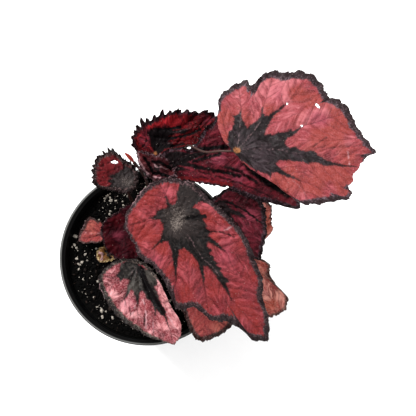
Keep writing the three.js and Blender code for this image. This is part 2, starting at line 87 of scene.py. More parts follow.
def add_lights():
    """Two large softboxes and an even pale surround."""
    for name, place, target, size, watts in SOFTBOXES:
        light = bpy.data.lights.new(name, "AREA")
        light.size = size
        light.energy = watts
        lamp = bpy.data.objects.new(name, light)
        lamp.location = place
        aim = Vector(target) - Vector(place)
        lamp.rotation_euler = aim.to_track_quat("-Z", "Y").to_euler()
        bpy.context.scene.collection.objects.link(lamp)
    world = bpy.data.worlds.new("studio")
    world.use_nodes = True
    sky = world.node_tree.nodes["Background"]
    sky.inputs["Color"].default_value = linear("#ffffff")
    sky.inputs["Strength"].default_value = SKY_STRENGTH
    bpy.context.scene.world = world
    bpy.context.scene.view_settings.view_transform = "Standard"


# ---------------------------------------------------------------- leaves
#
# Each leaf is laid out flat from the point where its petiole joins the blade: u runs along the
# midrib, v to its left. "at" places that point in the pot's frame and "azimuth" turns the midrib.
#   outline, veins   margin points and vein ends in (u, v)
#   hub              the point that all rings of the mesh surround; the joint itself if not given
#   slope, tilt      rise per mm along and across the midrib
#   droop, arch      curvature along and across the midrib
#   right            extra rise per mm of the right half, folded along the midrib; left likewise
#   cup              rise of the whole margin
#   ruffle, waves    height and number of the margin's waves
#   teeth, bite      number and depth of the margin's large teeth
#   vein             depth of the vein valleys
#   holes            worn holes: centre, half length, half width, angle
#   stalk            petiole: radius, where it leaves the rhizome (along, lean), points it passes
# How it is marked and puckered:
#   finish           which of the blade finishes it has
#   star             outline of the dark star round the joint
#   core, spikes     a star without an outline: its radius, and its reach and half width on each rib
#   ribs             paths of the main veins
#   spacing, quilt   distance between side veins, and how far the blade domes between them
#   crumple          how many times deeper its crinkles are than on the other leaves
#   border           width of the dark margin; border_at lists (u, v, radius, extra width)
#   pale_edge        where the very edge is pale: (u, v, radius, strength)
#   patches          blotches: (u, v, radius, paler or deeper, warmer or cooler)
#   lines            single dark, pale or red lines: kind, half width, strength, path; dark ones are
#                    painted shade in folds and creases, pale ones pale veins and, on ridges, painted
#                    highlight
#   ash              where the star is grey with hairs: (u, v, radius, strength)
#   plain_joint      0 where the tan spot over the petiole shows in full, more where it is fainter
#   fine, nip        number and depth of the small teeth; frill is how far they stand up and down
#   clubs            club-shaped teeth: (u, v, half width) of each tip
#   pinholes         small round holes (u, v, radius)
#   grid             mesh points around and across

# A patch at the joint that stands for no star at all on the leaves that other leaves cover.
NO_STAR = [(-2, -2), (-2, 2), (2, 2), (2, -2)]

UPPER_RIGHT_LEAF = dict(
    name="upper_right_leaf", at=(54.7, 47.8, 160), azimuth=-3,
    outline=[
        (74, 4), (70, 9), (66, 14), (62, 21), (59, 27), (54, 31), (50, 32.5), (48, 32.8), (46, 37),
        (43, 42), (38, 45), (31, 46), (24, 45), (19, 46), (13, 44), (9, 39), (6, 36), (3, 39), (-2, 37),
        (-7, 33), (-11, 28), (-11, 22), (-11, 14), (-8, 6), (-4, 1), (4, -7), (14, -13), (25, -20),
        (34, -25.6), (40, -27), (50, -25), (56, -23), (61, -22), (62, -19), (60, -16), (62, -13), (62, -10),
        (66, -4), (69, 1),
    ],
    veins=[(73, 3), (60, 27), (42, 42), (21, 46), (-3, 37), (-11, 20), (35, -27), (53, -24), (63, -12)],
    slope=-0.1, droop=-0.0005, arch=-0.001, ruffle=1.2, waves=9, teeth=36, bite=1.2, vein=1.2,
    holes=[(42, 27, 1.9, 0.8, -50)],
    stalk=dict(
        radius=0.65, along=13, lean=25,
        through=[
            (21, 37, 101), (24.5, 47.5, 116), (25.8, 55.2, 134), (28.6, 54.6, 141.5), (37.1, 49.4, 148.5),
            (46.6, 48.4, 155),
        ],
    ),
    finish="rose",
    star=[
        (-4.8, 1.9), (-5.3, 6.3), (-4.7, 9.7), (-3.2, 10.8), (-2.5, 14.2), (-2.4, 17), (-3.3, 19.1),
        (-1.4, 19), (0.1, 19.9), (1.3, 22.4), (1.5, 18.8), (1.9, 16.6), (3.6, 14.5), (4.8, 12.5),
        (6.2, 14.5), (8.3, 15.5), (9.9, 16.9), (11.4, 18.9), (12, 21.8), (12.4, 24.7), (12.9, 21.2),
        (14.3, 19.4), (15.9, 20), (17.7, 21.8), (20.3, 23.7), (23.4, 26.2), (26, 27.9), (22.9, 24.6),
        (19.8, 21.6), (18.3, 19.5), (17.1, 17.2), (15.9, 13.8), (14.6, 11.4), (14.5, 8.9), (17.1, 9.9),
        (19.5, 9.4), (21.8, 11.9), (22.4, 10.7), (26.1, 12.1), (28.2, 13.6), (29.3, 12.6), (34.5, 15.7),
        (32.5, 13), (29.4, 10), (26.2, 7.8), (25.2, 6.1), (26.1, 4), (27.5, 3), (31.2, 3.8), (33.2, 2.4),
        (36.1, 1.8), (38.8, 2.5), (41.5, 2.2), (42.6, 0.3), (46.4, -1.7), (50.7, -3.3), (56.7, -3.9),
        (65.9, -4.8), (57.8, -5.2), (51.3, -4.8), (48.1, -5.8), (43.8, -4.3), (40, -4), (37.4, -5.2),
        (35.8, -4), (32.1, -4.2), (28.3, -4), (23, -4), (20.7, -5.6), (22.6, -7.7), (25.9, -9.8),
        (29.2, -11.7), (34.6, -14.3), (28.7, -13.1), (24.9, -11.7), (21.7, -10.9), (19, -11.1),
        (18.4, -13.8), (16.4, -11.8), (13.8, -11.1), (10.6, -10.6), (5.6, -7.2), (1.8, -5.3), (-2.5, -3.4),
    ],
    ribs=[
        [(0, 0), (9, 1.2), (17.4, 1.4), (28, 1), (39, -1.1), (50, -3.6), (64, -4.7)],
        [(0, 0), (1.1, 11), (1.1, 21.5), (-1, 36)], [(0, 0), (7.5, 10.4), (12.3, 22.9), (18, 45)],
        [(0, 0), (11.8, 10.2), (16.7, 18.8), (25.5, 27.8), (33.7, 40.3)],
        [(0, 0), (13, 7), (22.4, 10.9), (34.5, 15.7), (48.9, 21.3), (58, 25)],
        [(0, 0), (13.7, -6.8), (26, -11.1), (33, -13.4), (38, -24)], [(0, 0), (-5, 6), (-9, 18)],
    ],
    spacing=6.2, quilt=0.7425, border=3.15,
    border_at=[
        (26, 46, 20, 1.7), (58, 28, 14, 1), (66, -9, 10, -5), (24, -19, 11, -4.5), (8, -9, 10, -6),
        (-9, 7, 12, -7), (48, -26, 9, 0.8),
    ],
    patches=[
        (9.4, 39.5, 6, 0.35, -0.1), (-4.2, 31.9, 6, 0.1, 0), (18.4, 43.3, 8, 0.55, -0.2),
        (27.6, 42.1, 7, 0.6, -0.1), (11.9, 31.3, 8, 0.35, -0.1), (24.2, 32.1, 6, 0.45, -0.1),
        (31.2, 34.4, 5, -0.5, 0.4), (37.7, 31.5, 6, -0.6, 0.5), (48.7, 26.7, 5, 0.8, 0),
        (42.4, 20.7, 5, 0.15, -0.8), (30.6, 20.8, 7, 0.3, -0.1), (54.4, 17.7, 8, -0.5, 0.45),
        (49.2, 11.7, 7, -0.2, 0.4), (41.6, 11.7, 5, -0.3, 0.4), (40.2, 6.6, 4, 0.6, 0.2),
        (47.1, 7.7, 4, 0.5, 0.2), (57.3, 9.6, 5, 0.45, -0.1), (59.9, 16.4, 6, -0.2, 0.1),
        (56, 0.8, 5, 0.5, 0), (64.7, 0.3, 6, 0.1, 0.3), (46.9, 0.1, 5, -0.5, 0.2),
        (33.8, -8.5, 8, -0.25, 0.3), (44.6, -10.4, 9, -0.3, 0.3), (25.1, -16.1, 6, -0.1, 0.7),
        (55.2, -8, 8, -0.35, 0.3), (34.3, -21.9, 6, 0.1, 0.1), (58.1, -16.5, 6, -0.2, 0.4),
        (-6.6, 16.1, 5, -0.5, 0.5), (-6.1, 6.2, 4, -0.5, 0.5), (4.9, 21.2, 4, 0.3, 0.3),
        (-1.7, 24.8, 5, 0.35, 0),
    ],
    lines=[
        ("pale", 0.3, 0.5, [(0, 0.7), (4.5, 5.9), (9, 11.6), (12.5, 17.8)]),
        ("pale", 0.3, 0.48, [(0.4, 2.3), (0.8, 12.1), (1.2, 19.9)]),
        ("pale", 0.3, 0.42, [(1.6, 0.8), (20.1, 1.8), (33.5, 0.2)]),
        ("pale", 0.1, 1.0, [(59.1, 4.8), (59.5, 0.5), (60.4, -3.9)]),
        ("dark", 0.5, 0.55, [(38.7, 3.3), (42.9, 6.3), (47.1, 10.4)]),
        ("pale", 0.5, 0.45, [(27.6, -13.2), (33.1, -16.6), (37.5, -22.2)]),
        ("dark", 0.6, 0.5, [(44.1, 2.9), (52.1, 5.1), (60.1, 6.2), (69.9, 7.8)]),
        ("dark", 0.4, 0.45, [(26, 27.9), (30.2, 32.7), (34.2, 39.2)]),
        ("dark", 0.5, 0.35, [(34.5, 15.7), (42.4, 21.3), (49.8, 26.8)]),
        ("dark", 0.5, 0.35, [(34.5, 15.7), (46.3, 19.4), (57, 21.8)]),
        ("dark", 0.35, 0.5, [(64.8, -4.6), (74.4, 3.4)]),
    ],
    ash=[(13.5, -5.5, 9, 0.5), (33.5, -0.9, 6, 0.35), (1.3, 5.6, 5, 0.3), (45.4, -2.8, 4, 0.4)],
    plain_joint=0, fine=120, nip=0.85, frill=0.6, pinholes=[(33.9, 15.5, 0.7), (25.5, 27.3, 0.55)],
    grid=(400, 96),
)

FRONT_LEAF = dict(
    name="front_leaf", at=(20.4, 11.6, 146), azimuth=-51.5,
    outline=[
        (80, 0), (77, 4), (70, 9), (60, 13), (53, 19), (43, 22), (34, 25), (24, 26), (14, 25), (3, 23),
        (-5, 22), (-11, 20), (-15, 17), (-20, 12), (-22, 7), (-23, 1), (-23, -4), (-21, -12), (-18, -19),
        (-13, -23), (-6, -24), (3, -26), (11, -24), (21, -24), (31, -27), (37, -28), (42, -20), (53, -17),
        (58, -11), (68, -7), (75, -6),
    ],
    veins=[
        (79, 0), (56, 14), (35, 24), (18, 26), (-6, 21), (-21, 8), (-21, -14), (-11, -23), (9, -24),
        (35, -27), (59, -11),
    ],
    slope=-0.3, droop=-0.0012, arch=-0.0035, ruffle=1.2, waves=11, teeth=36, bite=1.1, vein=1.3,
    stalk=dict(radius=1.6, along=5, lean=-35, through=[(14, 11, 105), (18.5, 11.5, 126)]),
    finish="brick_rose",
    star=[
        (-15.9, 5.3), (-12.1, 4.2), (-8.2, 2.4), (-8.5, 0.6), (-9.8, -1.7), (-10.2, -3.4), (-8.8, -5.3),
        (-9.6, -9.4), (-7, -6.8), (-5.4, -5.3), (-3.2, -5.4), (-0.6, -6.8), (1.3, -9.5), (2.8, -11.8),
        (3.2, -15.2), (3.9, -18.5), (4, -14.5), (4.2, -11.2), (5.9, -9.1), (8.4, -9.8), (11.3, -11.1),
        (15, -13.2), (18.6, -15.4), (24.6, -18.8), (19.6, -14.1), (15.9, -10.4), (13.2, -7.1), (14, -4.6),
        (16.8, -3.5), (20, -3.3), (23.3, -3.3), (27, -4.6), (30.5, -6.1), (35.9, -8.7), (32.4, -5.3),
        (29.2, -3.5), (27.5, -2.2), (29.2, -0.4), (33.8, 0), (38.8, -0.6), (44.1, -0.7), (51.4, -1.7),
        (46.2, 0.4), (42.1, 1.6), (42.7, 4), (38.6, 3.1), (35.2, 3), (34.1, 4.6), (31.3, 3.5), (31.6, 5.3),
        (28.2, 3.9), (27.3, 5.3), (24.2, 4.4), (23.9, 6.7), (20.4, 6), (19.2, 7.8), (21.8, 9.1),
        (25.2, 10.5), (29.4, 12), (23, 11.6), (19, 10.7), (16.2, 10.1), (15.9, 12.4), (13.1, 12),
        (10.3, 12.9), (8.2, 13.2), (7.9, 14.8), (5, 13.7), (3.6, 14.9), (0.1, 12.9), (-0.3, 14.6),
        (0.2, 18.3), (3.7, 21), (0.2, 22.4), (-5, 21.8), (-9.7, 20.8), (-13.5, 19.1), (-14.7, 16.6),
        (-12.8, 13.7), (-10.9, 10.9), (-8, 8.5), (-7, 5.6), (-8.8, 4.3), (-12.2, 5),
    ],
    ribs=[
        [(0, 0), (14.5, -0.9), (23, -1), (30.4, -0.1), (38, -0.7), (49.8, -1.1), (79, 0)],
        [(0, 0), (6.6, -6.9), (14.9, -11.6), (24.1, -18.6), (29, -26)],
        [(17, -1), (23.4, -4), (35.5, -8.4), (50, -17)], [(0, 0), (2.7, -12), (4.1, -18.7), (3, -26)],
        [(0, 0), (-5.9, -5), (-9.5, -12.3), (-14, -21)], [(0, 0), (-6.5, 3.8), (-16.8, 6), (-22, 6)],
        [(0, 0), (-5, 10), (-8, 16.3), (-9, 21)], [(0, 0), (0, 8), (1, 15), (2, 23)],
        [(0, 0), (4, 6), (9, 14), (15, 24)], [(0, 0), (10.4, 2.8), (18, 7), (27.7, 12), (42, 22)],
    ],
    spacing=6.4, quilt=0.675, border=2.35,
    border_at=[
        (56, 13, 12, 0.7), (38, 24, 10, 0.8), (36, -27, 9, 1.4), (56, -14, 8, 1), (-10, -20, 10, -0.8),
        (78, -2, 9, 1.7), (66, -9, 8, 1.2),
    ],
    pale_edge=[
        (-21, -6, 13, 1.0), (-12, 19, 10, 0.7), (33, -28, 8, 0.5), (12, -24, 9, 0.4), (20, 26, 9, 0.5),
        (50, 19, 9, 0.5), (70, 9, 8, 0.4),
    ],
    patches=[
        (-13.5, -5.5, 5, 0, 0.2), (-14.5, -11, 3, 0.9, 0), (-3.6, -15.8, 7, 0.15, 0.5),
        (-0.7, -18.9, 2.5, 0.8, -0.2), (-17.2, -1.8, 5, -0.2, 0.1), (-16.1, 6.8, 3, 0.4, -0.2),
        (-12.2, 9.2, 2.5, 0.5, -0.1), (8.4, -13.2, 4, -0.3, 0.6), (10.6, -20.6, 6, 0.4, -0.5),
        (25.2, -13.1, 8, 0.1, 0.1), (24.1, -3.2, 3, -0.4, 1), (15.5, -6.6, 4, -0.3, 0.7),
        (40.2, -6.6, 9, 0, 0.1), (30.4, 11.2, 8, 0, -0.4), (41.6, 8.4, 8, 0.1, -0.2),
        (7.6, 19.9, 3.5, 1, 0), (2.3, 18, 3, 0.3, -0.3), (10, 15.2, 4.5, -0.7, 0.6),
        (15.3, 20.6, 4.5, -0.4, 0.3), (18.3, 18.2, 3.5, 0.6, -0.4), (53.7, 2.1, 10, -0.1, 0.2),
        (67.5, -2, 7, -0.2, 0.1), (51.5, -13.8, 8, -0.1, 0.1), (39, -21.1, 8, 0, -0.1),
        (-15.3, -16.4, 4, 0, 0.4), (18.7, -12.7, 5, 0.2, 0),
    ],
    lines=[
        ("dark", 1, 1, [(1.7, 5.4), (4.7, 10.6), (7.8, 15.6)]),
        ("dark", 0.5, 0.5, [(-9.3, -9), (-11.1, -14.4), (-13.2, -19.6)]),
        ("dark", 0.6, 0.65, [(15, 10.4), (17.1, 14.3), (20.1, 17.4), (25.5, 20.7)]),
        ("pale", 0.45, 0.4, [(7.9, 1.7), (16.9, 0.6), (24.5, 0), (30.7, 1.1), (39.4, 1.1)]),
        ("pale", 0.45, 0.8, [(19.4, 17.9), (20.5, 24)]),
        ("dark", 0.7, 0.6, [(-12.4, 3.8), (-7.5, 2.5), (-3.2, 1.1)]),
        ("dark", 0.5, 0.4, [(50.7, -1.8), (62.9, -1.8), (77.1, -1.2)]),
        ("dark", 0.35, 0.3, [(24.1, -18.6), (32.9, -24.5)]),
        ("dark", 0.35, 0.3, [(35.5, -8.4), (46.4, -11.7)]),
    ],
    ash=[
        (2.2, -0.5, 6, 1.3), (-2.3, 5.8, 6, 0.8), (-5.5, 17.5, 10, 0.55), (-7.3, -1, 4, 0.6),
        (-9.3, 6.8, 4, 0.5), (17.7, 3.4, 6, 0.1), (9.5, 7.3, 5, 0.3), (34.8, 2, 4, 0.4),
    ],
    fine=120, nip=0.85, frill=0.85, grid=(400, 96),
)

LOWER_LEFT_LEAF = dict(
    name="lower_left_leaf", at=(-4.4, -7, 102), azimuth=-64.7,
    outline=[
        (50, 0), (47, 6), (40, 9), (31, 8), (21, 8), (12, 8), (4, 6), (-1, 3), (-5, -2), (-7, -8),
        (-6, -16), (-2, -22), (4, -24), (11, -24), (19, -23), (27, -20), (35, -15), (41, -11), (46, -5),
    ],
    veins=[(49, 0), (42, 8), (24, 9), (8, 6), (-5, -5), (-3, -19), (6, -24), (21, -22), (36, -13)],
    slope=-0.1, droop=-0.0003, left=1.1, right=0.5, ruffle=0.9, waves=9, teeth=24, bite=0.8, vein=0.8,
    stalk=dict(radius=1.3, along=-12, lean=-45, through=[(-5, -2, 92)]), finish="pink",
    star=[
        (-4.7, -4.3), (-4.7, -7.3), (-2.5, -9.5), (-0.1, -11.4), (1, -14), (2.7, -12.4), (4.5, -12.6),
        (5.3, -15), (4.7, -12.1), (4, -10), (5.4, -8.2), (6.9, -7.7), (8.7, -9.4), (11.7, -11.9),
        (16, -16.5), (14.8, -13.5), (12.5, -10.7), (11.2, -8.7), (13.3, -8.3), (16.4, -8.5), (19.9, -9.2),
        (22.2, -9.6), (18.7, -7.5), (15.3, -5.7), (14.4, -4.3), (14.8, -3.3), (17, -2.7), (19.5, -3.5),
        (20.9, -2.6), (21.3, -1.6), (24.4, -1.8), (27.5, -2), (30.8, -3), (27.7, -0.8), (27.3, 0.4),
        (30.5, 1.5), (34.3, 1.6), (40.4, 1.2), (34.9, 2.7), (30.9, 3), (26.2, 3), (21.5, 3.7), (17.8, 3.9),
        (15.5, 3.7), (15.7, 5.7), (14.5, 7), (11.2, 6.7), (9.1, 8.5), (6.4, 7.1), (4.9, 3.6), (1.4, 1.8),
        (-2.8, -0.1),
    ],
    ribs=[
        [(0, 0), (4.4, 0.3), (17, 0.1), (27.9, 1.2), (37.2, 1.8), (50, 0)],
        [(0, 0), (3.9, -12.3), (5, -24)], [(0, 0), (10.8, -11.2), (20, -22)],
        [(0, 0), (12, -4.5), (21.1, -9.2), (34, -15)], [(17, 0), (28, -3.7), (43, -9)],
        [(0, 0), (-5, -4), (-6, -12)], [(0, 0), (8, 3), (20, 8)], [(16, 0.2), (24, 3.4), (34, 8)],
    ],
    spacing=5, quilt=0.6075, border=2.1,
    border_at=[(18, -24, 15, 1.1), (36, 9, 12, -2.3), (20, 8, 9, -2), (44, 6, 8, -1.6), (48, -3, 7, -1)],
    pale_edge=[(5, -24, 10, 0.8), (12, 8, 9, 0.6)],
    patches=[
        (-2.5, -15.5, 6, 0.1, -0.3), (3.5, -19.2, 5, 0.1, 0.1), (10.4, -18.1, 2.8, 0.9, 0),
        (6.2, -23.3, 3, 0.1, -0.6), (9, -13.9, 3.5, -0.4, 0.2), (18.4, -13.9, 4, 0.6, -0.7),
        (16.7, -9.3, 2, -0.8, -0.3), (19.7, -16.9, 3, 0.4, -0.5), (27.1, -11.3, 3.5, 0.7, 0.1),
        (22, -13.5, 2, -0.6, 0), (29, -13, 2, -0.5, 0), (17.5, -5.8, 1.8, 1, 0.3), (25, -4.8, 3.5, -1, 0.5),
        (34.1, -8.3, 3, -0.4, 0), (36.4, -2, 4, 0.45, 0.1), (33.2, -3.3, 1.6, -0.8, 0),
        (39.2, 2.5, 3.4, 0.7, 0), (42, -5, 3, -0.6, 0), (14, 8.4, 2.4, 2, 0.2), (20.5, 7.8, 2.8, 2, 0.2),
        (27, 7.2, 3, 2, 0.3), (34, 7, 3, 1.8, 0.3), (40.3, 6.6, 2.6, 1.5, 0.2), (25.3, -14, 2.6, 0.7, 0),
        (30.6, -9.2, 1.8, -0.4, -0.2), (44.8, 1.1, 4, 0.1, 0),
    ],
    lines=[
        ("dark", 1.7, 1.4, [(0.8, 0.8), (11.9, 0), (19.6, 0.2), (25.8, 1.1), (31, 1.9)]),
        ("dark", 0.5, 0.5, [(39.2, 1.2), (45.8, 0.6)]), ("pale", 0.4, 0.8, [(27, -15.9), (19.3, -9)]),
        ("pale", 0.4, 0.9, [(36.1, -11), (26.6, -6.8), (19.6, -5.4)]),
        ("pale", 0.4, 0.7, [(21.8, -17.8), (16.7, -15)]), ("pale", 0.5, 0.8, [(43.4, 4.5), (31.6, 3.7)]),
        ("pale", 0.4, 0.7, [(40, -7.9), (33.5, -5.6)]), ("dark", 0.4, 0.6, [(26.5, -15.7), (19.9, -13.4)]),
        ("dark", 0.5, 0.7, [(34.5, -11.6), (27.4, -7.8)]), ("pale", 0.4, 0.35, [(0.3, -0.3), (7.2, -4.7)]),
        ("pale", 0.4, 0.35, [(-1, -0.3), (4, -6.3)]),
    ],
    ash=[
        (9.7, -6.4, 5, 0.6), (9.1, 4.2, 5, 0.9), (2.1, -9.1, 4, 0.2), (9.4, -10, 3, 0.5),
        (21.5, 1.3, 4, 0.4),
    ],
    fine=80, nip=0.6, frill=0.6, grid=(280, 64),
)

TOOTHED_UPPER_LEAF = dict(
    name="toothed_upper_leaf", at=(7.4, 55.1, 122), azimuth=24,
    outline=[
        (43, -4), (41, 2), (36, 7), (30, 10), (23, 14), (16, 16), (8, 16.5), (2, 16.5), (-5, 15), (-9, 12),
        (-10, 7), (-8, 0), (-4, -5), (2, -6), (8, -6), (13, -4.8), (19, -6), (25, -7.3), (31, -8.6),
        (38, -9),
    ],
    veins=[(42, -4), (32, 9), (22, 14), (10, 16), (-2, 16), (-9, 10), (-7, -2), (11, -5), (29, -8)],
    slope=0.2, arch=0.012, cup=3, ruffle=1.2, waves=13, teeth=26, bite=2.6, vein=1,
    stalk=dict(radius=1.4, along=3.5, lean=15, through=[(6.5, 33, 98), (6, 46, 110)]), finish="blood",
    star=[
        (-0.4, 3.4), (0.2, 7.5), (1, 11.9), (3.5, 13), (5.6, 10.9), (8.4, 11.4), (9.8, 8.9), (13.3, 8.4),
        (16, 5.9), (20.5, 4.9), (24.4, 2.2), (19.4, 2.2), (15.3, 4.4), (10.4, 4.9), (14.1, 1.8), (9.5, 2.9),
        (12.5, -1.8), (7.1, 0.3), (3.8, -1.3), (-0.2, -1.9),
    ],
    ribs=[
        [(0, 0), (20, 2), (42, -4)], [(0, 0), (14, 5), (32, 9)], [(0, 0), (9, 7), (22, 14)],
        [(0, 0), (4, 8), (9, 16)], [(0, 0), (-1, 9), (-3, 16)], [(0, 0), (-5, 4), (-9, 10)],
        [(0, 0), (-5, -1), (-7, -2)], [(0, 0), (8, -3), (16, -5)],
    ],
    spacing=4, quilt=0.945, border=1.75, border_at=[(4, 16, 9, 0.5)], pale_edge=[(-9, 10, 8, 1.0)],
    patches=[
        (7.9, 15.7, 3.2, 1.7, 0), (3.6, 14.7, 2.6, 1.3, 0), (16.2, 11.8, 3.8, 1.6, 0),
        (10.8, 12.5, 3, 0.9, 0), (-3.3, 10.9, 3, 0.2, -0.2), (6.8, 7.9, 7, -1.3, -0.2),
        (7.3, 2.1, 6, -1.2, 0), (18.8, 5.8, 4, 0.3, 0.4), (18.5, -1.1, 5, -0.1, 0.4),
        (30.3, 4.2, 6, -0.4, -0.2), (25.5, 0.4, 5, -0.5, 0.2), (-2.4, 1.9, 4, -0.4, 0),
    ],
    lines=[
        ("dark", 1, 1, [(4, 12.8), (10.5, 9.1), (18.9, 6.9)]),
        ("dark", 0.8, 0.9, [(2.4, 9.4), (11.2, 3.9), (21.2, 0.7), (28.5, 0.1)]),
        ("pale", 0.6, 0.35, [(12.2, 5.9), (21.3, 3.8), (29.4, 2.2)]),
        ("pale", 0.6, 0.3, [(4.9, 3.9), (13.2, -0.3), (20.8, -2.9)]),
        ("dark", 0.6, 0.7, [(-7.2, 5.4), (-2.2, 8), (1.2, 12.3)]),
        ("dark", 0.8, 0.8, [(-1, 5), (7.1, 0.3), (17.1, -2.9)]),
    ],
    plain_joint=0.9, fine=70, nip=0.7, frill=0.6,
    clubs=[
        (-0.4, 19.5, 1.15), (3.4, 19.4, 1.05), (7.9, 18.3, 1.15), (12.6, 18.8, 1.25), (17.7, 16.3, 1.05),
        (20.8, 14.9, 1.15), (23.2, 14.7, 0.95), (27.5, 11.7, 1.15), (32.4, 8.8, 1.05), (35.5, 6, 0.95),
        (-2.8, 17.3, 0.95), (-6.4, 16.4, 0.95),
    ],
    grid=(480, 56),
)

FOLDED_MIDDLE_LEAF = dict(
    name="folded_middle_leaf", at=(17.6, 42.6, 134), azimuth=-13, hub=(20, 9.5),
    outline=[
        (74, -5), (71, 2), (64, 12), (55, 22), (45, 30), (35, 36), (26, 38), (20, 35), (17, 30), (14, 26),
        (12.3, 21), (11, 17.8), (9.4, 15.2), (6.6, 13.4), (2.5, 12.9), (-2, 11.4), (-6.5, 8.5), (-7.5, 4.5),
        (-6, 1), (-3, -2), (1, -4), (7, -4), (16, -3.7), (25, -3.3), (34, -2.7), (38, -4), (43, -5),
        (50, -6), (58, -6), (65, -6), (70, -6),
    ],
    veins=[
        (73, -5), (50, -6), (32, -3), (12, -4), (-5, 0), (-6, 8), (12, 20), (21, 35), (41, 33), (58, 18),
        (68, 5),
    ],
    slope=0.14, tilt=0.12, droop=-0.001, right=-1.2, ruffle=0.8, waves=10, teeth=32, bite=0.8, vein=0.8,
    stalk=dict(radius=1.5, along=10, lean=0, through=[(15, 31, 104), (17, 39, 120)]), finish="plum",
    star=[
        (-5.5, 1.2), (-8.6, 2.3), (-8.3, 6.2), (-6.6, 8.8), (-2.7, 9.4), (0.6, 10.6), (4.6, 10.3),
        (8.5, 11), (13.9, 12.6), (19.5, 13), (14.5, 9.9), (10.5, 7.4), (7.4, 5.8), (13.1, 5.7), (19.1, 4.6),
        (12.4, 3.9), (6.8, 3.4), (3.4, 2.8), (10.5, 1.9), (5.1, 0.5), (0.6, -0.8),
    ],
    ribs=[
        [(0, 0), (16, -2.4), (36, -2), (50, -4), (72, -5)], [(0, 0), (25, 3), (55, 13)],
        [(0, 0), (18, 9), (42, 30)], [(0, 0), (10, 11), (22, 34)], [(0, 0), (5, 8), (12, 20)],
        [(0, 0), (-1, 5), (-3, 8)], [(0, 0), (-4, 3), (-6, 5)],
    ],
    spacing=5, quilt=1.08, border=2.15, border_at=[(20, 35, 9, 0.4), (20, -3, 14, -1.2)],
    patches=[
        (16.2, 22.5, 5, -0.2, 0.2), (12.5, 19, 3, -0.8, 0), (19.3, 28.7, 4, 0.1, 0),
        (21.8, 7.9, 4.5, 0.1, -0.5), (26.8, 10.5, 4.5, 0.05, -0.4), (24.4, 4, 4, -0.5, 0.6),
        (8.9, 9.4, 3.5, 0.3, -0.8), (7.2, 1.4, 4, 0.25, 0.1), (14.4, -0.5, 3.5, 0.1, 0.2),
        (-3.1, 6.1, 6, -1, -0.3), (37.5, 8.2, 5, 0.5, -0.2), (37.6, 2.8, 4, -0.2, -0.5),
        (44.9, 0.4, 5, 0.4, 0), (52.1, -1.7, 4, -0.4, 0), (63.7, -1, 2.6, 0.9, 1.3),
        (68.9, -1.9, 2.2, 1.1, 1.2), (59.6, -0.3, 2, 0.3, 1.2), (31.1, 16.9, 5, -0.6, 0),
        (30.8, 3.1, 3, 0.5, -0.2),
    ],
    lines=[
        # The first dark line is a painted cast shadow of the upper right leaf's edge; the wide dark lines
        # and the pale ones between them are painted shade and highlight along the leaf's ridges.
        ("dark", 2.2, 1, [(38.2, 12.8), (46.1, 7.7), (55.5, 3.1), (66.2, 0)]),
        ("dark", 0.6, 0.6, [(13.8, 2.5), (24.9, 1.4), (37, 0.5), (48.6, -1.3), (60.5, -3.9)]),
        ("red", 0.6, 1.2, [(3.3, -3), (14.2, -2.2), (19.8, -1.8), (35.1, -1.3)]),
        ("dark", 1.9, 0.85, [(5.1, 10.9), (13.5, 14.1), (21, 16.2), (27.5, 17.9)]),
        ("dark", 1.3, 0.8, [(11.3, 3.7), (19.2, 4.1), (29.4, 4.4), (38.5, 4)]),
        ("pale", 0.8, 0.35, [(15.6, 5.1), (22.5, 9.7), (31.9, 13.2)]),
        ("dark", 1.4, 0.8, [(9.6, 6.2), (17.4, 9.8), (25.1, 13.5)]),
        ("pale", 0.7, 0.3, [(1.6, 5.8), (8.6, 10.4), (17.2, 13.2)]),
        ("dark", 1.2, 0.75, [(27.6, 7.4), (38, 6.1), (49.1, 1.8)]),
        ("pale", 0.8, 0.3, [(31.9, 8.2), (42.5, 5.9), (55.1, -0.2)]),
    ],
    ash=[(-4.9, 6.3, 4, 0.1)], fine=90, nip=0.75, frill=0.8, grid=(320, 64),
)

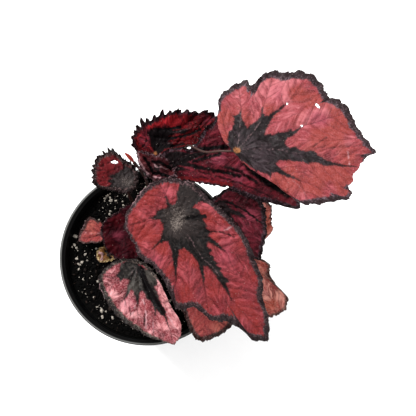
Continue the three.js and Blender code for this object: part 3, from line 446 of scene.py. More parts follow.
FRILLED_LEFT_LEAF = dict(
    name="frilled_left_leaf", at=(-10.5, 38.3, 110), azimuth=138,
    outline=[
        (22, 4), (17, 10), (13, 12), (8, 10), (3, 7), (-2, 4), (-5, -1), (-4, -6), (-1, -10), (4, -12),
        (7, -12), (11, -11), (15, -11), (19, -10), (22, -6), (23, -1),
    ],
    veins=[(23, 2), (17, 9), (7, 10), (-4, -3), (3, -11), (11, -11), (21, -8)], slope=0.1, droop=0.003,
    arch=0.003, ruffle=1.3, waves=11, teeth=24, bite=1.6, vein=0.6, holes=[(14.2, -5.8, 2.1, 0.9, 38)],
    stalk=dict(radius=1.1, along=-4, lean=40, through=[(-4, 24, 91), (-9, 32.5, 97)]), finish="ash_maroon",
    star=[
        (-2, -8.1), (1.6, -11.2), (4.9, -9.7), (7.5, -9), (9.9, -9.2), (8, -6.2), (8.6, -3.3), (9.9, -0.5),
        (11.6, 2.7), (8.8, 1.6), (10.1, 5.2), (6.8, 4.6), (8.1, 8.2), (4.5, 6.3), (0.7, 4.5), (-3.6, 0.6),
        (-6.2, -3.4),
    ],
    ribs=[
        [(0, 0), (11, 1), (23, 1)], [(0, 0), (8, 4), (17, 10)], [(0, 0), (3, 5), (7, 10)],
        [(0, 0), (-3, -1), (-5, -2)], [(0, 0), (1, -6), (3, -12)], [(0, 0), (6, -5), (12, -11)],
        [(0, 0), (11, -3), (21, -8)],
    ],
    spacing=4, quilt=0.675, border=2.7, pale_edge=[(18, 6, 9, 0.6)],
    patches=[
        (18.3, -1.3, 3.5, 0, 0.9), (14.2, -2, 3, 0.1, 0.8), (12.7, -8.9, 3, -0.1, 0.6),
        (13.7, 5.5, 3, 0.1, 0.9), (9.7, 7.3, 3, -0.2, 0.8), (18.1, 4, 3, -0.5, 0), (4.7, -6.8, 3.5, 0.4, 0),
        (19.1, -9.2, 4, -0.6, -0.2), (12.2, -11.7, 2.5, 0.2, 0.8),
    ],
    lines=[
        ("dark", 0.5, 0.6, [(18.9, 3.1), (16.6, -2.9), (14.3, -9)]),
        ("dark", 0.5, 0.5, [(15.3, 5.4), (12.2, -1.5), (9.6, -7.1)]),
        ("dark", 0.5, 0.5, [(12.6, 10), (11.7, 4.3)]),
    ],
    ash=[(4.2, -1.1, 6, 0.9), (-1.7, -3.2, 5, 0.8)], fine=70, nip=0.8, frill=0.9,
    clubs=[(20.1, -12.1, 0.8), (21.9, -9.6, 0.7), (23.8, -6.5, 0.6), (23.8, -1.5, 0.6), (22.9, 2.6, 0.6)],
    grid=(280, 48),
)

MAROON_LEFT_LEAF = dict(
    name="maroon_left_leaf", at=(-0.4, 22.2, 100), azimuth=-130,
    outline=[
        (30, 2), (28, 7), (22, 12), (13, 13), (5, 13), (-2, 8), (-5, 2), (-5, -4), (-3, -9), (2, -12),
        (9, -14), (16, -16), (22, -15), (27, -10), (30, -4),
    ],
    veins=[(29, -4), (26, 8), (12, 13), (-2, 8), (-5, -4), (7, -14), (22, -14)], slope=-0.15, arch=0.004,
    right=0.15, ruffle=0.8, waves=8, teeth=20, bite=0.8, vein=0.7,
    stalk=dict(radius=1.2, along=-7, lean=-5, through=[]), finish="maroon", star=NO_STAR,
    ribs=[
        [(0, 0), (14, -1), (29, -3)], [(0, 0), (12, 4), (26, 8)], [(0, 0), (6, 7), (12, 13)],
        [(0, 0), (-1, 4), (-2, 8)], [(0, 0), (-3, -2), (-5, -4)], [(0, 0), (4, -7), (7, -14)],
        [(0, 0), (11, -7), (22, -14)],
    ],
    spacing=4.6, quilt=0.675, border=0.9, pale_edge=[(12, -15, 12, 1.1)],
    patches=[
        (19.4, -5.4, 3.5, 0.5, -0.3), (10.7, -14.6, 4, 0, 0.5), (16.4, -11.6, 4, -0.5, 0),
        (11.5, -5.8, 5, -0.3, 0), (14.2, -17.8, 2.5, 0.5, 0), (25.2, -6, 4, -0.3, 0.3), (13, 3, 8, -0.9, 0),
        (3, -8, 5, -0.5, 0),
    ],
    fine=60, nip=0.6, frill=0.6, grid=(240, 44),
)

RIGHT_SIDE_LEAF = dict(
    name="right_side_leaf", at=(40.5, 21.9, 122), azimuth=-43,
    outline=[
        (38, -2), (34, 5), (31, 11), (26, 16), (21, 21), (15, 23), (9, 21), (3, 19), (-2, 16), (-4, 10),
        (-5, 4), (-4, -1), (1, -5), (8, -7), (17, -7), (25, -6), (33, -5),
    ],
    veins=[(37, -1), (28, 14), (15, 22), (-1, 16), (-4, 3), (7, -7), (26, -6)], slope=-0.15, left=-0.15,
    ruffle=0.9, waves=9, teeth=24, bite=0.9, vein=0.8,
    stalk=dict(radius=1.3, along=13, lean=-30, through=[(26, 22, 97), (37, 22, 111)]), finish="wine",
    star=[
        (-2.8, 2.9), (-1.6, 6.5), (1.2, 9.3), (5.2, 10.8), (2.8, 7.6), (6.8, 7.5), (11.6, 9.8), (17.1, 9.6),
        (12.3, 7.3), (8.7, 5.4), (13, 3.2), (19.3, 2.2), (13.4, 1.2), (7.9, 2.2), (4.7, 1.5), (1.1, -0.4),
    ],
    ribs=[
        [(0, 0), (18, -1), (37, -1)], [(0, 0), (13, 7), (28, 14)], [(0, 0), (6, 9), (15, 22)],
        [(0, 0), (-1, 7), (-1, 16)], [(0, 0), (-3, 1), (-4, 3)], [(0, 0), (4, -4), (7, -7)],
        [(0, 0), (13, -3), (26, -6)],
    ],
    spacing=4.6, quilt=0.81, border=2.25, border_at=[(22, 20, 9, 0.5)],
    patches=[
        (-1.9, 11.9, 3.5, 0.9, 0.1), (2.9, 12.5, 3.5, 0.8, 0.2), (17.2, 13.7, 4.5, 0.6, -0.6),
        (21.3, 1.7, 5, 0.3, 0.1), (23.8, 9, 4, -0.4, 0.2), (4.4, 7.6, 4, -0.5, 0),
        (24.3, 14.3, 3, -0.3, 0.3), (27.9, -1.3, 4, 0.1, 0.5), (8.8, 10.3, 3, -0.4, 0.3),
    ],
    lines=[
        ("dark", 0.7, 0.8, [(-0.4, 7.7), (7.6, 10.8), (16.4, 12.9), (25.1, 13.5)]),
        ("dark", 0.6, 0.7, [(0.4, 4.5), (7.5, 4.2), (16.2, 3.1), (27.1, -0.5)]),
        ("pale", 0.7, 0.3, [(-0.3, 11), (7.2, 12.8), (16, 14.9)]),
        ("dark", 0.6, 0.6, [(-4.3, 7), (-2.7, 13.5), (1.4, 17.5)]),
    ],
    ash=[(2.8, 7.6, 5, 0.4)], fine=70, nip=0.7, frill=0.85, grid=(280, 52),
)

LOWER_RIGHT_LEAF = dict(
    name="lower_right_leaf", at=(55.3, -1.6, 104), azimuth=-41,
    outline=[
        (37, -1), (32, 0), (26, 1), (20, 3), (17, 7), (12, 7), (8, 7), (5, 10), (5, 16), (5, 23), (0, 28),
        (-4, 33), (-9, 34), (-12, 30), (-13, 24), (-12, 14), (-10, 4), (-6, -5), (0, -12), (7, -16),
        (14, -20), (22, -21), (30, -19), (37, -15), (40, -7),
    ],
    veins=[(37, -2), (34, -16), (18, -21), (-3, -8), (-7, 33), (17, 5)], slope=-0.05, arch=0.001,
    ruffle=0.9, waves=11, teeth=28, bite=0.9, vein=0.7,
    stalk=dict(radius=1.2, along=9, lean=-60, through=[(22, 11, 90), (42, 2, 95)]), finish="salmon", core=4,
    spikes=[(15, 2.6), (11, 2.4), (9, 2.4), (6, 2), (12, 2.4), (8, 2)],
    ribs=[
        [(0, 0), (18, -1), (37, -2)], [(0, 0), (16, -9), (34, -16)], [(0, 0), (9, -11), (18, -21)],
        [(0, 0), (-1, -4), (-3, -8)], [(0, 0), (-4, 15), (-7, 33)], [(0, 0), (8, 3), (17, 5)],
    ],
    spacing=5, quilt=0.675, border=1.65, border_at=[(2, 20, 9, -1.5)],
    patches=[
        (14, -2, 6, 0.5, 0), (26, -8, 4, 0.5, -0.4), (20, -14, 4, -0.4, 0.6), (31, -3, 4, 0.5, 0),
        (2, 24, 8, 0.8, 0.4), (32, -12, 6, 0.3, 0.3),
    ],
    fine=90, nip=0.9, frill=0.7, grid=(300, 48),
)

BOTTOM_LEAF = dict(
    name="bottom_leaf", at=(36.7, -17.9, 100), azimuth=-92,
    outline=[
        (33, -2), (30, 6), (25, 13), (19, 17), (12, 18), (4, 16), (-1, 12), (-4, 5), (-4, -2), (-1, -9),
        (5, -13), (12, -15), (19, -13), (26, -10), (31, -7),
    ],
    veins=[(33, -2), (22, -12), (9, -14), (-4, -2), (1, 14), (16, 17), (28, 9)], slope=-0.12, arch=0.002,
    ruffle=1, waves=8, teeth=24, bite=0.8, vein=0.7,
    stalk=dict(radius=1.2, along=0, lean=-60, through=[(16, 3, 90), (28, -10, 93)]), finish="dusk_rose",
    core=4, spikes=[(10, 2.6), (8, 2.2), (6, 2.2), (5, 2), (6, 2.2), (8, 2.2), (9, 2.2)],
    ribs=[
        [(0, 0), (16, -1), (33, -2)], [(0, 0), (11, -6), (22, -12)], [(0, 0), (4, -7), (9, -14)],
        [(0, 0), (-2, -1), (-4, -2)], [(0, 0), (0, 7), (1, 14)], [(0, 0), (8, 8), (16, 17)],
        [(0, 0), (15, 4), (28, 9)],
    ],
    spacing=5, quilt=0.675, border=2.35, border_at=[(33, -2, 9, 0.8)],
    patches=[(22, 4, 6, 0.5, 0.1), (26, -5, 5, 0.2, 0.3), (14, -8, 5, -0.2, 0.2)], fine=80, nip=0.75,
    frill=0.7, grid=(260, 44),
)

CRUMPLED_YOUNG_LEAF = dict(
    name="crumpled_young_leaf", at=(10.2, 42.9, 138.5), azimuth=155,
    outline=[
        (14, -4), (12, 0), (8, 4), (4, 6), (0, 7), (-5, 6), (-9, 3), (-11, -1), (-8, -4), (-4, -7), (2, -6),
        (8, -6),
    ],
    veins=[(13, -3), (6, 5), (-5, 5), (-10, -1), (-2, -7), (7, -5)], arch=0.01, ruffle=1.3, waves=7,
    teeth=20, bite=1, vein=0.5,
    stalk=dict(radius=1, along=7, lean=10, through=[(11.5, 30, 100), (11.5, 38, 117)]), finish="young",
    star=NO_STAR,
    ribs=[
        [(0, 0), (6, -1), (13, -3)], [(0, 0), (3, 3), (6, 5)], [(0, 0), (-2, 3), (-5, 5)],
        [(0, 0), (-5, 0), (-10, -1)], [(0, 0), (-1, -4), (-2, -7)], [(0, 0), (3, -3), (7, -5)],
    ],
    spacing=3, quilt=1.08, crumple=3.2, border=1.05, pale_edge=[(0, 0, 20, 0.5)],
    patches=[(-8, -4, 4, 0.5, 0.3), (8, 0, 4, 0.2, 0)],
    # Its pale lines are painted highlight on rolled edges and ridges, its dark ones painted shade in the
    # crumples.
    lines=[
        ("pale", 0.5, 0.8, [(13.5, -3.5), (10.1, 0.8), (3.8, 4.8), (-1.2, 5.1), (-3.9, 4.4)]),
        ("pale", 0.4, 0.6, [(5, -4), (1.1, -0.8), (-4, -1.9), (-7.6, -4.9)]),
        ("dark", 0.9, 1.2, [(1.8, 2.6), (-2.9, 2.3), (-8.9, 2.1)]),
        ("dark", 0.8, 1.1, [(10.3, -3.4), (5.8, -0.5), (1.1, 2.9)]),
        ("dark", 0.8, 1, [(5.5, -2.5), (-0.5, -2.8), (-7.1, -4.4)]),
    ],
    fine=50, nip=0.5, frill=1.1,
    clubs=[(-2, 8.6, 0.7), (4, 7.8, 0.6), (9, 6, 0.6), (-12.6, 0.5, 0.7), (-9.5, -5.6, 0.6), (1, -8, 0.6)],
    grid=(260, 40),
)

SOIL_LEVEL_LEAF = dict(
    name="soil_level_leaf", at=(-27.2, 15, 85.5), azimuth=178,
    outline=[
        (14.2, 3), (14, 6), (10.7, 7.6), (6.7, 7), (3, 7), (-0.4, 5.5), (-1.8, 3.6), (-2, -0.7),
        (-0.7, -4.2), (1.5, -6.3), (3.9, -6.9), (6.3, -8.3), (8.7, -8.6), (10.3, -6.4), (11.7, -2.8),
        (13.6, 0),
    ],
    veins=[(14, 0), (9, -8), (1, -6), (2, 4), (10, 5)], slope=0.1, arch=0.01, ruffle=0.5, waves=5, teeth=16,
    bite=0.5, vein=0.3, stalk=dict(radius=0.9, along=-13, lean=60, through=[(-15, 16, 84)]),
    finish="dusk_rose", star=NO_STAR,
    ribs=[
        [(0, 0), (7, 0), (14, 0)], [(0, 0), (4, -4), (9, -8)], [(0, 0), (0, -3), (1, -6)],
        [(0, 0), (1, 2), (2, 4)], [(0, 0), (5, 3), (10, 5)],
    ],
    spacing=3, quilt=0.54, border=0.95, border_at=[(10, -8, 6, 1.2), (12.5, -1, 4, 0.8)],
    pale_edge=[(12, -3, 8, 0.9)],
    patches=[
        (8.1, -3.8, 3, 0.6, 0.1), (3.2, -3.9, 3, 0.4, 0.3), (5.4, 0.9, 2, 0.7, 0), (10, 4.4, 3, -0.4, 0.2),
        (3, 5.5, 3, -0.4, 0.4),
    ],
    lines=[
        ("dark", 0.5, 0.5, [(11.9, 4.6), (6.2, 3.2), (0, 1.6)]),
        ("dark", 0.5, 0.5, [(8.6, -4.4), (4.2, -0.6), (-0.6, 1.2)]),
        ("pale", 0.6, 0.5, [(11.6, 0.8), (6, 1.2), (1, 0.6)]),
    ],
    fine=40, nip=0.4, frill=0.4, grid=(180, 28),
)

DRIED_LEAF = dict(
    name="dried_leaf", at=(-23, 3, 81.6), azimuth=200,
    outline=[(9, 0), (7, 4), (1, 5), (-4, 4), (-6, 0), (-4, -4), (2, -5), (7, -4)],
    veins=[(9, 0), (2, 5), (2, -5)], slope=0.05, arch=0.03, right=0.2, ruffle=0.5, waves=4, teeth=12,
    bite=0.6, finish="withered", star=NO_STAR,
    ribs=[
        [(0, 0), (5, 0), (9, 0)], [(0, 0), (1, 3), (2, 5)], [(0, 0), (1, -3), (2, -5)],
        [(0, 0), (-3, 0), (-6, 0)],
    ],
    spacing=2.2, quilt=0.675, crumple=1.6, border=0.95, pale_edge=[(6, 0, 5, 1.3), (-3, 4, 4, 1.2)],
    patches=[(5, -3, 4, 0.6, 0.3), (-4, 2, 4, -0.4, 0)],
    lines=[
        ("pale", 0.5, 1.3, [(8, -3.6), (5.1, -0.9), (7.4, 3.6)]),
        ("dark", 0.7, 1, [(3, -4), (2, 0), (1, 4)]),
    ],
    fine=30, nip=0.4, frill=0.5, grid=(140, 24),
)
LEAVES = [
    UPPER_RIGHT_LEAF, FRONT_LEAF, LOWER_LEFT_LEAF, TOOTHED_UPPER_LEAF, FOLDED_MIDDLE_LEAF,
    FRILLED_LEFT_LEAF, MAROON_LEFT_LEAF, RIGHT_SIDE_LEAF, LOWER_RIGHT_LEAF, BOTTOM_LEAF,
    CRUMPLED_YOUNG_LEAF, SOIL_LEVEL_LEAF, DRIED_LEAF,
]

BUD_FOOT = (-5, 50.5, 118)
BUD_TIP = (-10.1, 55.1, 124)
BUD_RADIUS = 1.2
BUD_STALK = dict(radius=0.9, along=0, lean=25, through=[(2, 31, 95), (1, 42, 106)])

POT_HEIGHT = 88
RIM_RADIUS = 52.8
BASE_RADIUS = 37
WALL = 1
RIM_BAND_HEIGHT = 9
RIM_LIP_WIDTH = 2
DRAIN_COUNT = 8
DRAIN_RADIUS = 4
DRAIN_RING_RADIUS = 29
SOIL_TOP = 80
SOIL_FOOT = 1.8
SOIL_GAP = 0.05
SOIL_RIPPLE = 0.4
GRAIN_MARGIN = 1.5

RHIZOME_CENTRE = (5, 16, 81)
RHIZOME_AZIMUTH = 34
RHIZOME_RADIUS = 5.5
RHIZOME_LENGTH = 26

# How blades are shaped: how round a fold is, how wide a vein's valley, how far round the joint the
# waves fade, and the flattest slope and the thicknesses that the shell is built for.
FOLD_SOFTNESS = 3
VEIN_WIDTH = 2.4
CALM_RADIUS = 8
STEEPEST = 0.5
THICK_MIDDLE = 0.7
THIN_MARGIN = 0.35

# Side veins leave a rib at this slant and bend on by this much per mm.
SIDE_VEIN_LEAN = 0.9
SIDE_VEIN_CURVE = 0.012

# How steep the sides of a blotch are, and the distance that hides the spot over a petiole.
PATCH_POWER = 1.5
HIDDEN_JOINT = 20


# ---------------------------------------------------------------- shared helpers

def linear(code, alpha=1.0):
    """A colour written as sRGB hex, as the linear values that nodes take."""
    shares = [int(code[i:i + 2], 16) / 255 for i in (1, 3, 5)]
    return (*[c / 12.92 if c <= 0.04045 else ((c + 0.055) / 1.055) ** 2.4 for c in shares], alpha)


def put(tree, kind, inputs=(), out=0, **settings):
    """Adds one node with its settings, its sockets' values and links, and gives back one output."""
    node = tree.nodes.new(kind)
    for name, value in settings.items():
        setattr(node, name, value)
    for name, value in dict(inputs).items():
        if isinstance(value, bpy.types.NodeSocket):
            tree.links.new(value, node.inputs[name])
        else:
            node.inputs[name].default_value = value
    return node.outputs[out] if len(node.outputs) else node


def smooth(x):
    """0 below 0, 1 above 1, and a soft step between."""
    x = np.clip(x, 0, 1)
    return x * x * (3 - 2 * x)


def wobble(x, y, size, seed):
    """A repeatable wandering value from -1 to 1, with bumps about size wide."""
    rng = np.random.default_rng(seed)
    total = np.zeros(np.broadcast(x, y).shape)
    for _ in range(6):
        heading = rng.uniform(0, 2 * math.pi)
        phase = rng.uniform(0, 2 * math.pi)
        pace = rng.uniform(0.7, 1.5)
        total += np.sin((x * math.cos(heading) + y * math.sin(heading)) * math.pi / size * pace + phase)
    return total / 3.2


def link_mesh(name, points, faces, smooth_faces=True, sharp=55):
    """A mesh object at the origin from points in metres."""
    mesh = bpy.data.meshes.new(name)
    mesh.from_pydata(np.asarray(points).tolist(), [], faces)
    mesh.polygons.foreach_set("use_smooth", [smooth_faces] * len(mesh.polygons))
    if sharp:
        mesh.set_sharp_from_angle(angle=math.radians(sharp))
    thing = bpy.data.objects.new(name, mesh)
    bpy.context.scene.collection.objects.link(thing)
    return thing


def mark(mesh, name, values):
    """Stores a number or a vector at every point of a mesh."""
    values = np.asarray(values, np.float32)
    kind, field = ("FLOAT_VECTOR", "vector") if values.ndim == 2 else ("FLOAT", "value")
    mesh.attributes.new(name, kind, "POINT").data.foreach_set(field, values.ravel())


def hermite(a, b, leave, arrive):
    """Points along the curve from a to b that leaves and arrives so, without b itself."""
    x = np.linspace(0, 1, 24, endpoint=False)[:, None]
    return ((2 * x**3 - 3 * x**2 + 1) * a + (x**3 - 2 * x**2 + x) * leave
            + (-2 * x**3 + 3 * x**2) * b + (x**3 - x**2) * arrive)


def run_along(line):
    """How far along a polyline each of its points lies."""
    return np.concatenate([[0], np.cumsum(np.linalg.norm(np.diff(line, axis=0), axis=1))])


def evened(pieces, shares):
    """The points that lie at the given shares of a polyline's length."""
    line = np.vstack(pieces)
    run = run_along(line)
    return np.stack([np.interp(shares * run[-1], run, column) for column in line.T], axis=1)


def curve_between(points, count):
    """Points along a centripetal Catmull-Rom curve, evenly spaced."""
    points = np.array(points, float)
    ends = [2 * points[0] - points[1], 2 * points[-1] - points[-2]]
    knots = np.vstack([ends[0], points, ends[1]])
    pieces = []
    for a, b, c, d in zip(knots, knots[1:], knots[2:], knots[3:]):
        spans = np.linalg.norm([b - a, c - b, d - c], axis=1)
        first, second, third = np.maximum(spans, 1e-6) ** 0.5
        leave = (b - a) / first - (c - a) / (first + second) + (c - b) / second
        arrive = (c - b) / second - (d - b) / (second + third) + (d - c) / third
        pieces.append(hermite(b, c, leave * second, arrive * second))
    return evened(pieces + [points[-1:]], np.linspace(0, 1, count))


def turn_about_z(degrees):
    """The matrix that turns rows of points about the z axis."""
    c, s = math.cos(math.radians(degrees)), math.sin(math.radians(degrees))
    return np.array([[c, s, 0], [-s, c, 0], [0, 0, 1]])


def spots(places, x, y, power=1):
    """Soft round spots added up: each has its place, its radius and its strength."""
    total = np.zeros(np.shape(x))
    for place_x, place_y, radius, strength in places:
        total = total + strength * np.exp(-(((x - place_x) ** 2 + (y - place_y) ** 2) / radius**2) ** power)
    return total


def polar_grid(rings, around, outermost):
    """x and y of rings of points round the axis, and not the axis itself."""
    angle = np.linspace(0, 2 * math.pi, around, endpoint=False)
    reach = (np.arange(rings) + 1)[:, None] / rings * outermost
    return reach * np.cos(angle), reach * np.sin(angle)


def ring_faces(rings, around, first=None, last=None):
    """Faces between rings of points, closed by fans at the points first and last where they are given."""
    index = np.arange(rings * around).reshape(rings, around)
    after = np.roll(index, -1, axis=1)
    faces = np.stack([index[:-1], index[1:], after[1:], after[:-1]], axis=-1).reshape(-1, 4).tolist()
    if first is not None:
        faces += [[first, index[0, i], after[0, i]] for i in range(around)]
    if last is not None:
        faces += [[last, after[-1, i], index[-1, i]] for i in range(around)]
    return faces


# ---------------------------------------------------------------- leaf blades

def ramp(x):
    """0 on the far side of a fold, x on its near side, rounded between."""
    return (np.hypot(x, FOLD_SOFTNESS) + x - FOLD_SOFTNESS) / 2


def valley(leaf, u, v):
    """1 in the bottom of a main vein's valley, falling to 0 between the veins."""
    deepest = np.zeros(np.shape(u))
    for end_u, end_v in leaf["veins"]:
        length = math.hypot(end_u, end_v)
        behind = np.maximum(0, -(u * end_u + v * end_v) / length)
        across = (u * end_v - v * end_u) / length
        deepest = np.maximum(deepest, np.exp(-((np.hypot(across, behind) / VEIN_WIDTH) ** 2)))
    return deepest


def blade_height(leaf, u, v, t, s):
    """Height of a blade over its joint: t is 0 at the hub and 1 at the margin, s runs round it."""
    height = leaf.get("slope", 0) * u + leaf.get("tilt", 0) * v
    height = height + leaf.get("droop", 0) * u * u + leaf.get("arch", 0) * v * v
    height = height + leaf.get("left", 0) * ramp(v) + leaf.get("right", 0) * ramp(-v)
    height = height + leaf.get("cup", 0) * t**3
    away = 1 - np.exp(-((np.hypot(u, v) / CALM_RADIUS) ** 2))
    height = height + leaf["ruffle"] * away * t**4 * np.sin(2 * math.pi * leaf["waves"] * s)
    return height - leaf.get("vein", 0) * (1.1 - t) * valley(leaf, u, v)


def margin_line(leaf, count):
    """Evenly spaced points on the smooth closed outline, the first at the outline's first point."""
    knots = np.array(leaf["outline"], float)
    four = zip(*(np.roll(knots, -k, axis=0) for k in (-1, 0, 1, 2)))
    pieces = [hermite(b, c, 0.5 * (c - a), 0.5 * (d - b)) for a, b, c, d in four]
    return evened(pieces + [knots[:1]], np.arange(count) / count)


def toothed_line(leaf, line, s):
    """The outline with its large teeth, uneven small ones on them and single club-shaped ones."""
    wave = 4 * np.abs((leaf["teeth"] * s) % 1 - 0.5) - 1
    uneven = 0.75 + 0.25 * np.sin(2 * math.pi * 5 * s + 1)
    small = 4 * np.abs((leaf["fine"] * s + 0.35 * np.sin(2 * math.pi * 17 * s)) % 1 - 0.5) - 1
    keen = 0.65 + 0.35 * wobble(s * 100, 0 * s, 3, leaf["fine"])
    ragged = np.random.default_rng(leaf["fine"]).normal(size=len(s))
    small = small + 0.5 * (ragged + np.roll(ragged, 1))
    hub = np.array(leaf.get("hub", (0, 0)))
    arm = line - hub
    step = 0.5 * leaf["bite"] * wave * uneven + 0.5 * leaf["nip"] * small * keen
    pitch = np.linalg.norm(np.diff(line, axis=0), axis=1).mean()
    for tip_u, tip_v, half_width in leaf.get("clubs", []):
        away = np.hypot(line[:, 0] - tip_u, line[:, 1] - tip_v)
        beside_foot = (np.arange(len(s)) - np.argmin(away) + len(s) // 2) % len(s) - len(s) // 2
        step = step + away.min() * np.exp(-((beside_foot * pitch / half_width) ** 4))
    return hub + arm * (1 + step / np.linalg.norm(arm, axis=1))[:, None]


def beside(path, u, v):
    """For each point: how far along the path it lies, on which side, and how far from it."""
    corners = curve_between(path, 14)
    nearest = np.full(u.shape, 1e9)
    along = np.zeros(u.shape)
    side = np.ones(u.shape)
    run = 0.0
    last = len(corners) - 2
    for i, (start, stop) in enumerate(zip(corners, corners[1:])):
        edge = stop - start
        length = math.hypot(*edge)
        reach = ((u - start[0]) * edge[0] + (v - start[1]) * edge[1]) / length
        inside = np.clip(reach, 0, length)
        away = np.hypot(u - start[0] - edge[0] * inside / length, v - start[1] - edge[1] * inside / length)
        turn = edge[0] * (v - start[1]) - edge[1] * (u - start[0])
        open_reach = reach if i in (0, last) else inside
        open_reach = np.maximum(open_reach, 0) if i > 0 else np.minimum(open_reach, length)
        closer = away < nearest - 1e-9
        along = np.where(closer, run + open_reach, along)
        side = np.where(closer, np.sign(turn), side)
        nearest = np.where(closer, away, nearest)
        run += length
    return along, side, nearest


def inside_outline(outline, u, v):
    """Distance in mm from a closed outline: above 0 inside it and below 0 outside."""
    corners = np.array(outline, float)
    nearest = np.full(u.shape, 1e9)
    inside = np.zeros(u.shape, bool)
    for start, stop in zip(corners, np.roll(corners, -1, axis=0)):
        edge = stop - start
        reach = np.clip(((u - start[0]) * edge[0] + (v - start[1]) * edge[1]) / (edge @ edge), 0, 1)
        away = np.hypot(u - start[0] - edge[0] * reach, v - start[1] - edge[1] * reach)
        nearest = np.minimum(nearest, away)
        crossing = start[0] + (v - start[1]) * edge[0] / (edge[1] if edge[1] else 1e-9)
        inside ^= ((start[1] > v) != (stop[1] > v)) & (u < crossing)
    return np.where(inside, nearest, -nearest)


def panel_shade(turns, seed):
    """A random value from -1 to 1 for each panel between side veins, blended from one to the next."""
    values = np.random.default_rng(seed).uniform(-1, 1, 64)
    step = np.floor(turns - 0.5).astype(int)
    blend = smooth(turns - 0.5 - step)
    return values[step % 64] * (1 - blend) + values[(step + 1) % 64] * blend


def markings(leaf, u, v, seed):
    """What the blade's form and colours follow: its star, veins, panels and blotches."""
    star = inside_outline(leaf["star"], u, v) if "star" in leaf else leaf["core"] - np.hypot(u, v)
    nearest = np.full(u.shape, 1e9)
    runner_up = np.full(u.shape, 1e9)
    turns, phase, tone, index = (np.zeros(u.shape) for _ in range(4))
    for k, path in enumerate(leaf["ribs"]):
        along, side, away = beside(path, u, v)
        foot = along - SIDE_VEIN_LEAN * away - SIDE_VEIN_CURVE * away**2
        step = foot / leaf["spacing"] + 0.37 * k + 0.2 * side + 0.16 * wobble(u, v, 9, seed + k)
        if "spikes" in leaf:
            dark_reach, dark_width = leaf["spikes"][k]
            spike = (0.5 + 0.5 * np.cos(2 * math.pi * step * 1.5)) ** 1.6
            left = np.clip(1 - foot / dark_reach, 0, 1.15) ** 0.85
            spread = dark_width * left * (0.5 + 0.75 * spike * smooth(foot / 6 + 0.4))
            spread = spread * smooth(1 + foot / 6)
            star = np.maximum(star, np.where(foot < dark_reach, spread - away, -away - 1))
        closer = away < nearest
        runner_up = np.where(closer, nearest, np.minimum(runner_up, away))
        for old, new in ((turns, step), (phase, foot), (index, k + 0.45 * side)):
            old[closer] = np.broadcast_to(new, u.shape)[closer]
        tone = np.where(closer, panel_shade(step, 7 * seed + 3 * k + (side > 0).astype(int).max()), tone)
        nearest = np.where(closer, away, nearest)
    gap = smooth((runner_up - nearest) / 4)
    lines = {kind: np.zeros(u.shape) for kind in ("dark", "pale", "red")}
    for kind, width, strength, path in leaf.get("lines", []):
        along, _, away = beside(path, u, v)
        ends = smooth(np.minimum(along, along.max() - along) / 3 + 0.35)
        away = away + 0.4 * wobble(u, v, 1.7, seed + 40)
        lines[kind] = np.maximum(lines[kind], strength * ends * np.exp(-((away / (width + 0.2)) ** 2)))
    side_vein = np.abs((turns + 0.5) % 1 - 0.5) * leaf["spacing"] * 0.74
    return dict(
        star=star, rib=nearest, side_vein=side_vein, gap=gap, turns=turns, lines=lines, tone=tone * gap,
        ash=spots(leaf.get("ash", []), u, v),
        flow=np.stack([phase + 0.9 * wobble(u, v, 3, seed), nearest * 0.3, index * 17], axis=1),
    )


def puckers(leaf, marks, u, v, t, seed):
    """How far the blade domes up between its side veins, and its crinkles."""
    dome = np.sin(math.pi * marks["turns"]) ** 2
    rise = leaf["quilt"] * (dome**0.7 - 0.45) * smooth(marks["rib"] / 3) * marks["gap"]
    rise = rise - 0.35 * np.exp(-((marks["rib"] / 0.8) ** 2)) * (1.05 - t)
    crinkle = 0.12 * wobble(u, v, 1.5, seed + 1) * (1 + wobble(u, v, 12, seed + 3))
    crinkle = crinkle + 0.15 * wobble(u, v, 2.6, seed + 4) + 0.42 * wobble(u, v, 7, seed + 2)
    crinkle = crinkle * leaf.get("crumple", 1)
    folds = 0.45 * marks["lines"]["pale"] - 0.7 * marks["lines"]["dark"] - 0.3 * marks["lines"]["red"]
    return rise * smooth(t / 0.15) + (crinkle * leaf["quilt"] / 0.5 + folds) * smooth(t / 0.3)


def worn_through(leaf, quads, middle):
    """Whether each face lies in one of the blade's worn holes or pinholes."""
    centre = middle[quads].mean(axis=1)
    gone = np.zeros(len(quads), bool)
    pinholes = [(u, v, radius, radius, 0) for u, v, radius in leaf.get("pinholes", [])]
    for hole_u, hole_v, long_half, short_half, angle in leaf.get("holes", []) + pinholes:
        turn = math.radians(angle)
        du, dv = centre[:, 0] - hole_u, centre[:, 1] - hole_v
        a = (du * math.cos(turn) + dv * math.sin(turn)) / long_half
        b = (dv * math.cos(turn) - du * math.sin(turn)) / short_half
        gone |= a * a + b * b <= 1
    return gone


def point_normals(points, *faces):
    """Unit normals of a surface at its points, weighted by the sizes of the faces round them."""
    normal = np.zeros_like(points)
    for corners in faces:
        first, second, third = (points[corners[:, i]] for i in range(3))
        spin = np.cross(second - first, third - first)
        for i in range(corners.shape[1]):
            np.add.at(normal, corners[:, i], spin)
    return normal / np.maximum(np.linalg.norm(normal, axis=1), 1e-12)[:, None]


def open_edges(*faces):
    """The edges that belong to one face only, in the direction of that face."""
    directed = np.concatenate([
        np.stack([corners[:, i], np.roll(corners, -1, axis=1)[:, i]], axis=1)
        for corners in faces for i in range(corners.shape[1])
    ])
    stride = directed.max() + 1
    keys = directed[:, 0] * stride + directed[:, 1]
    back_keys = directed[:, 1] * stride + directed[:, 0]
    return directed[~np.isin(back_keys, keys)]


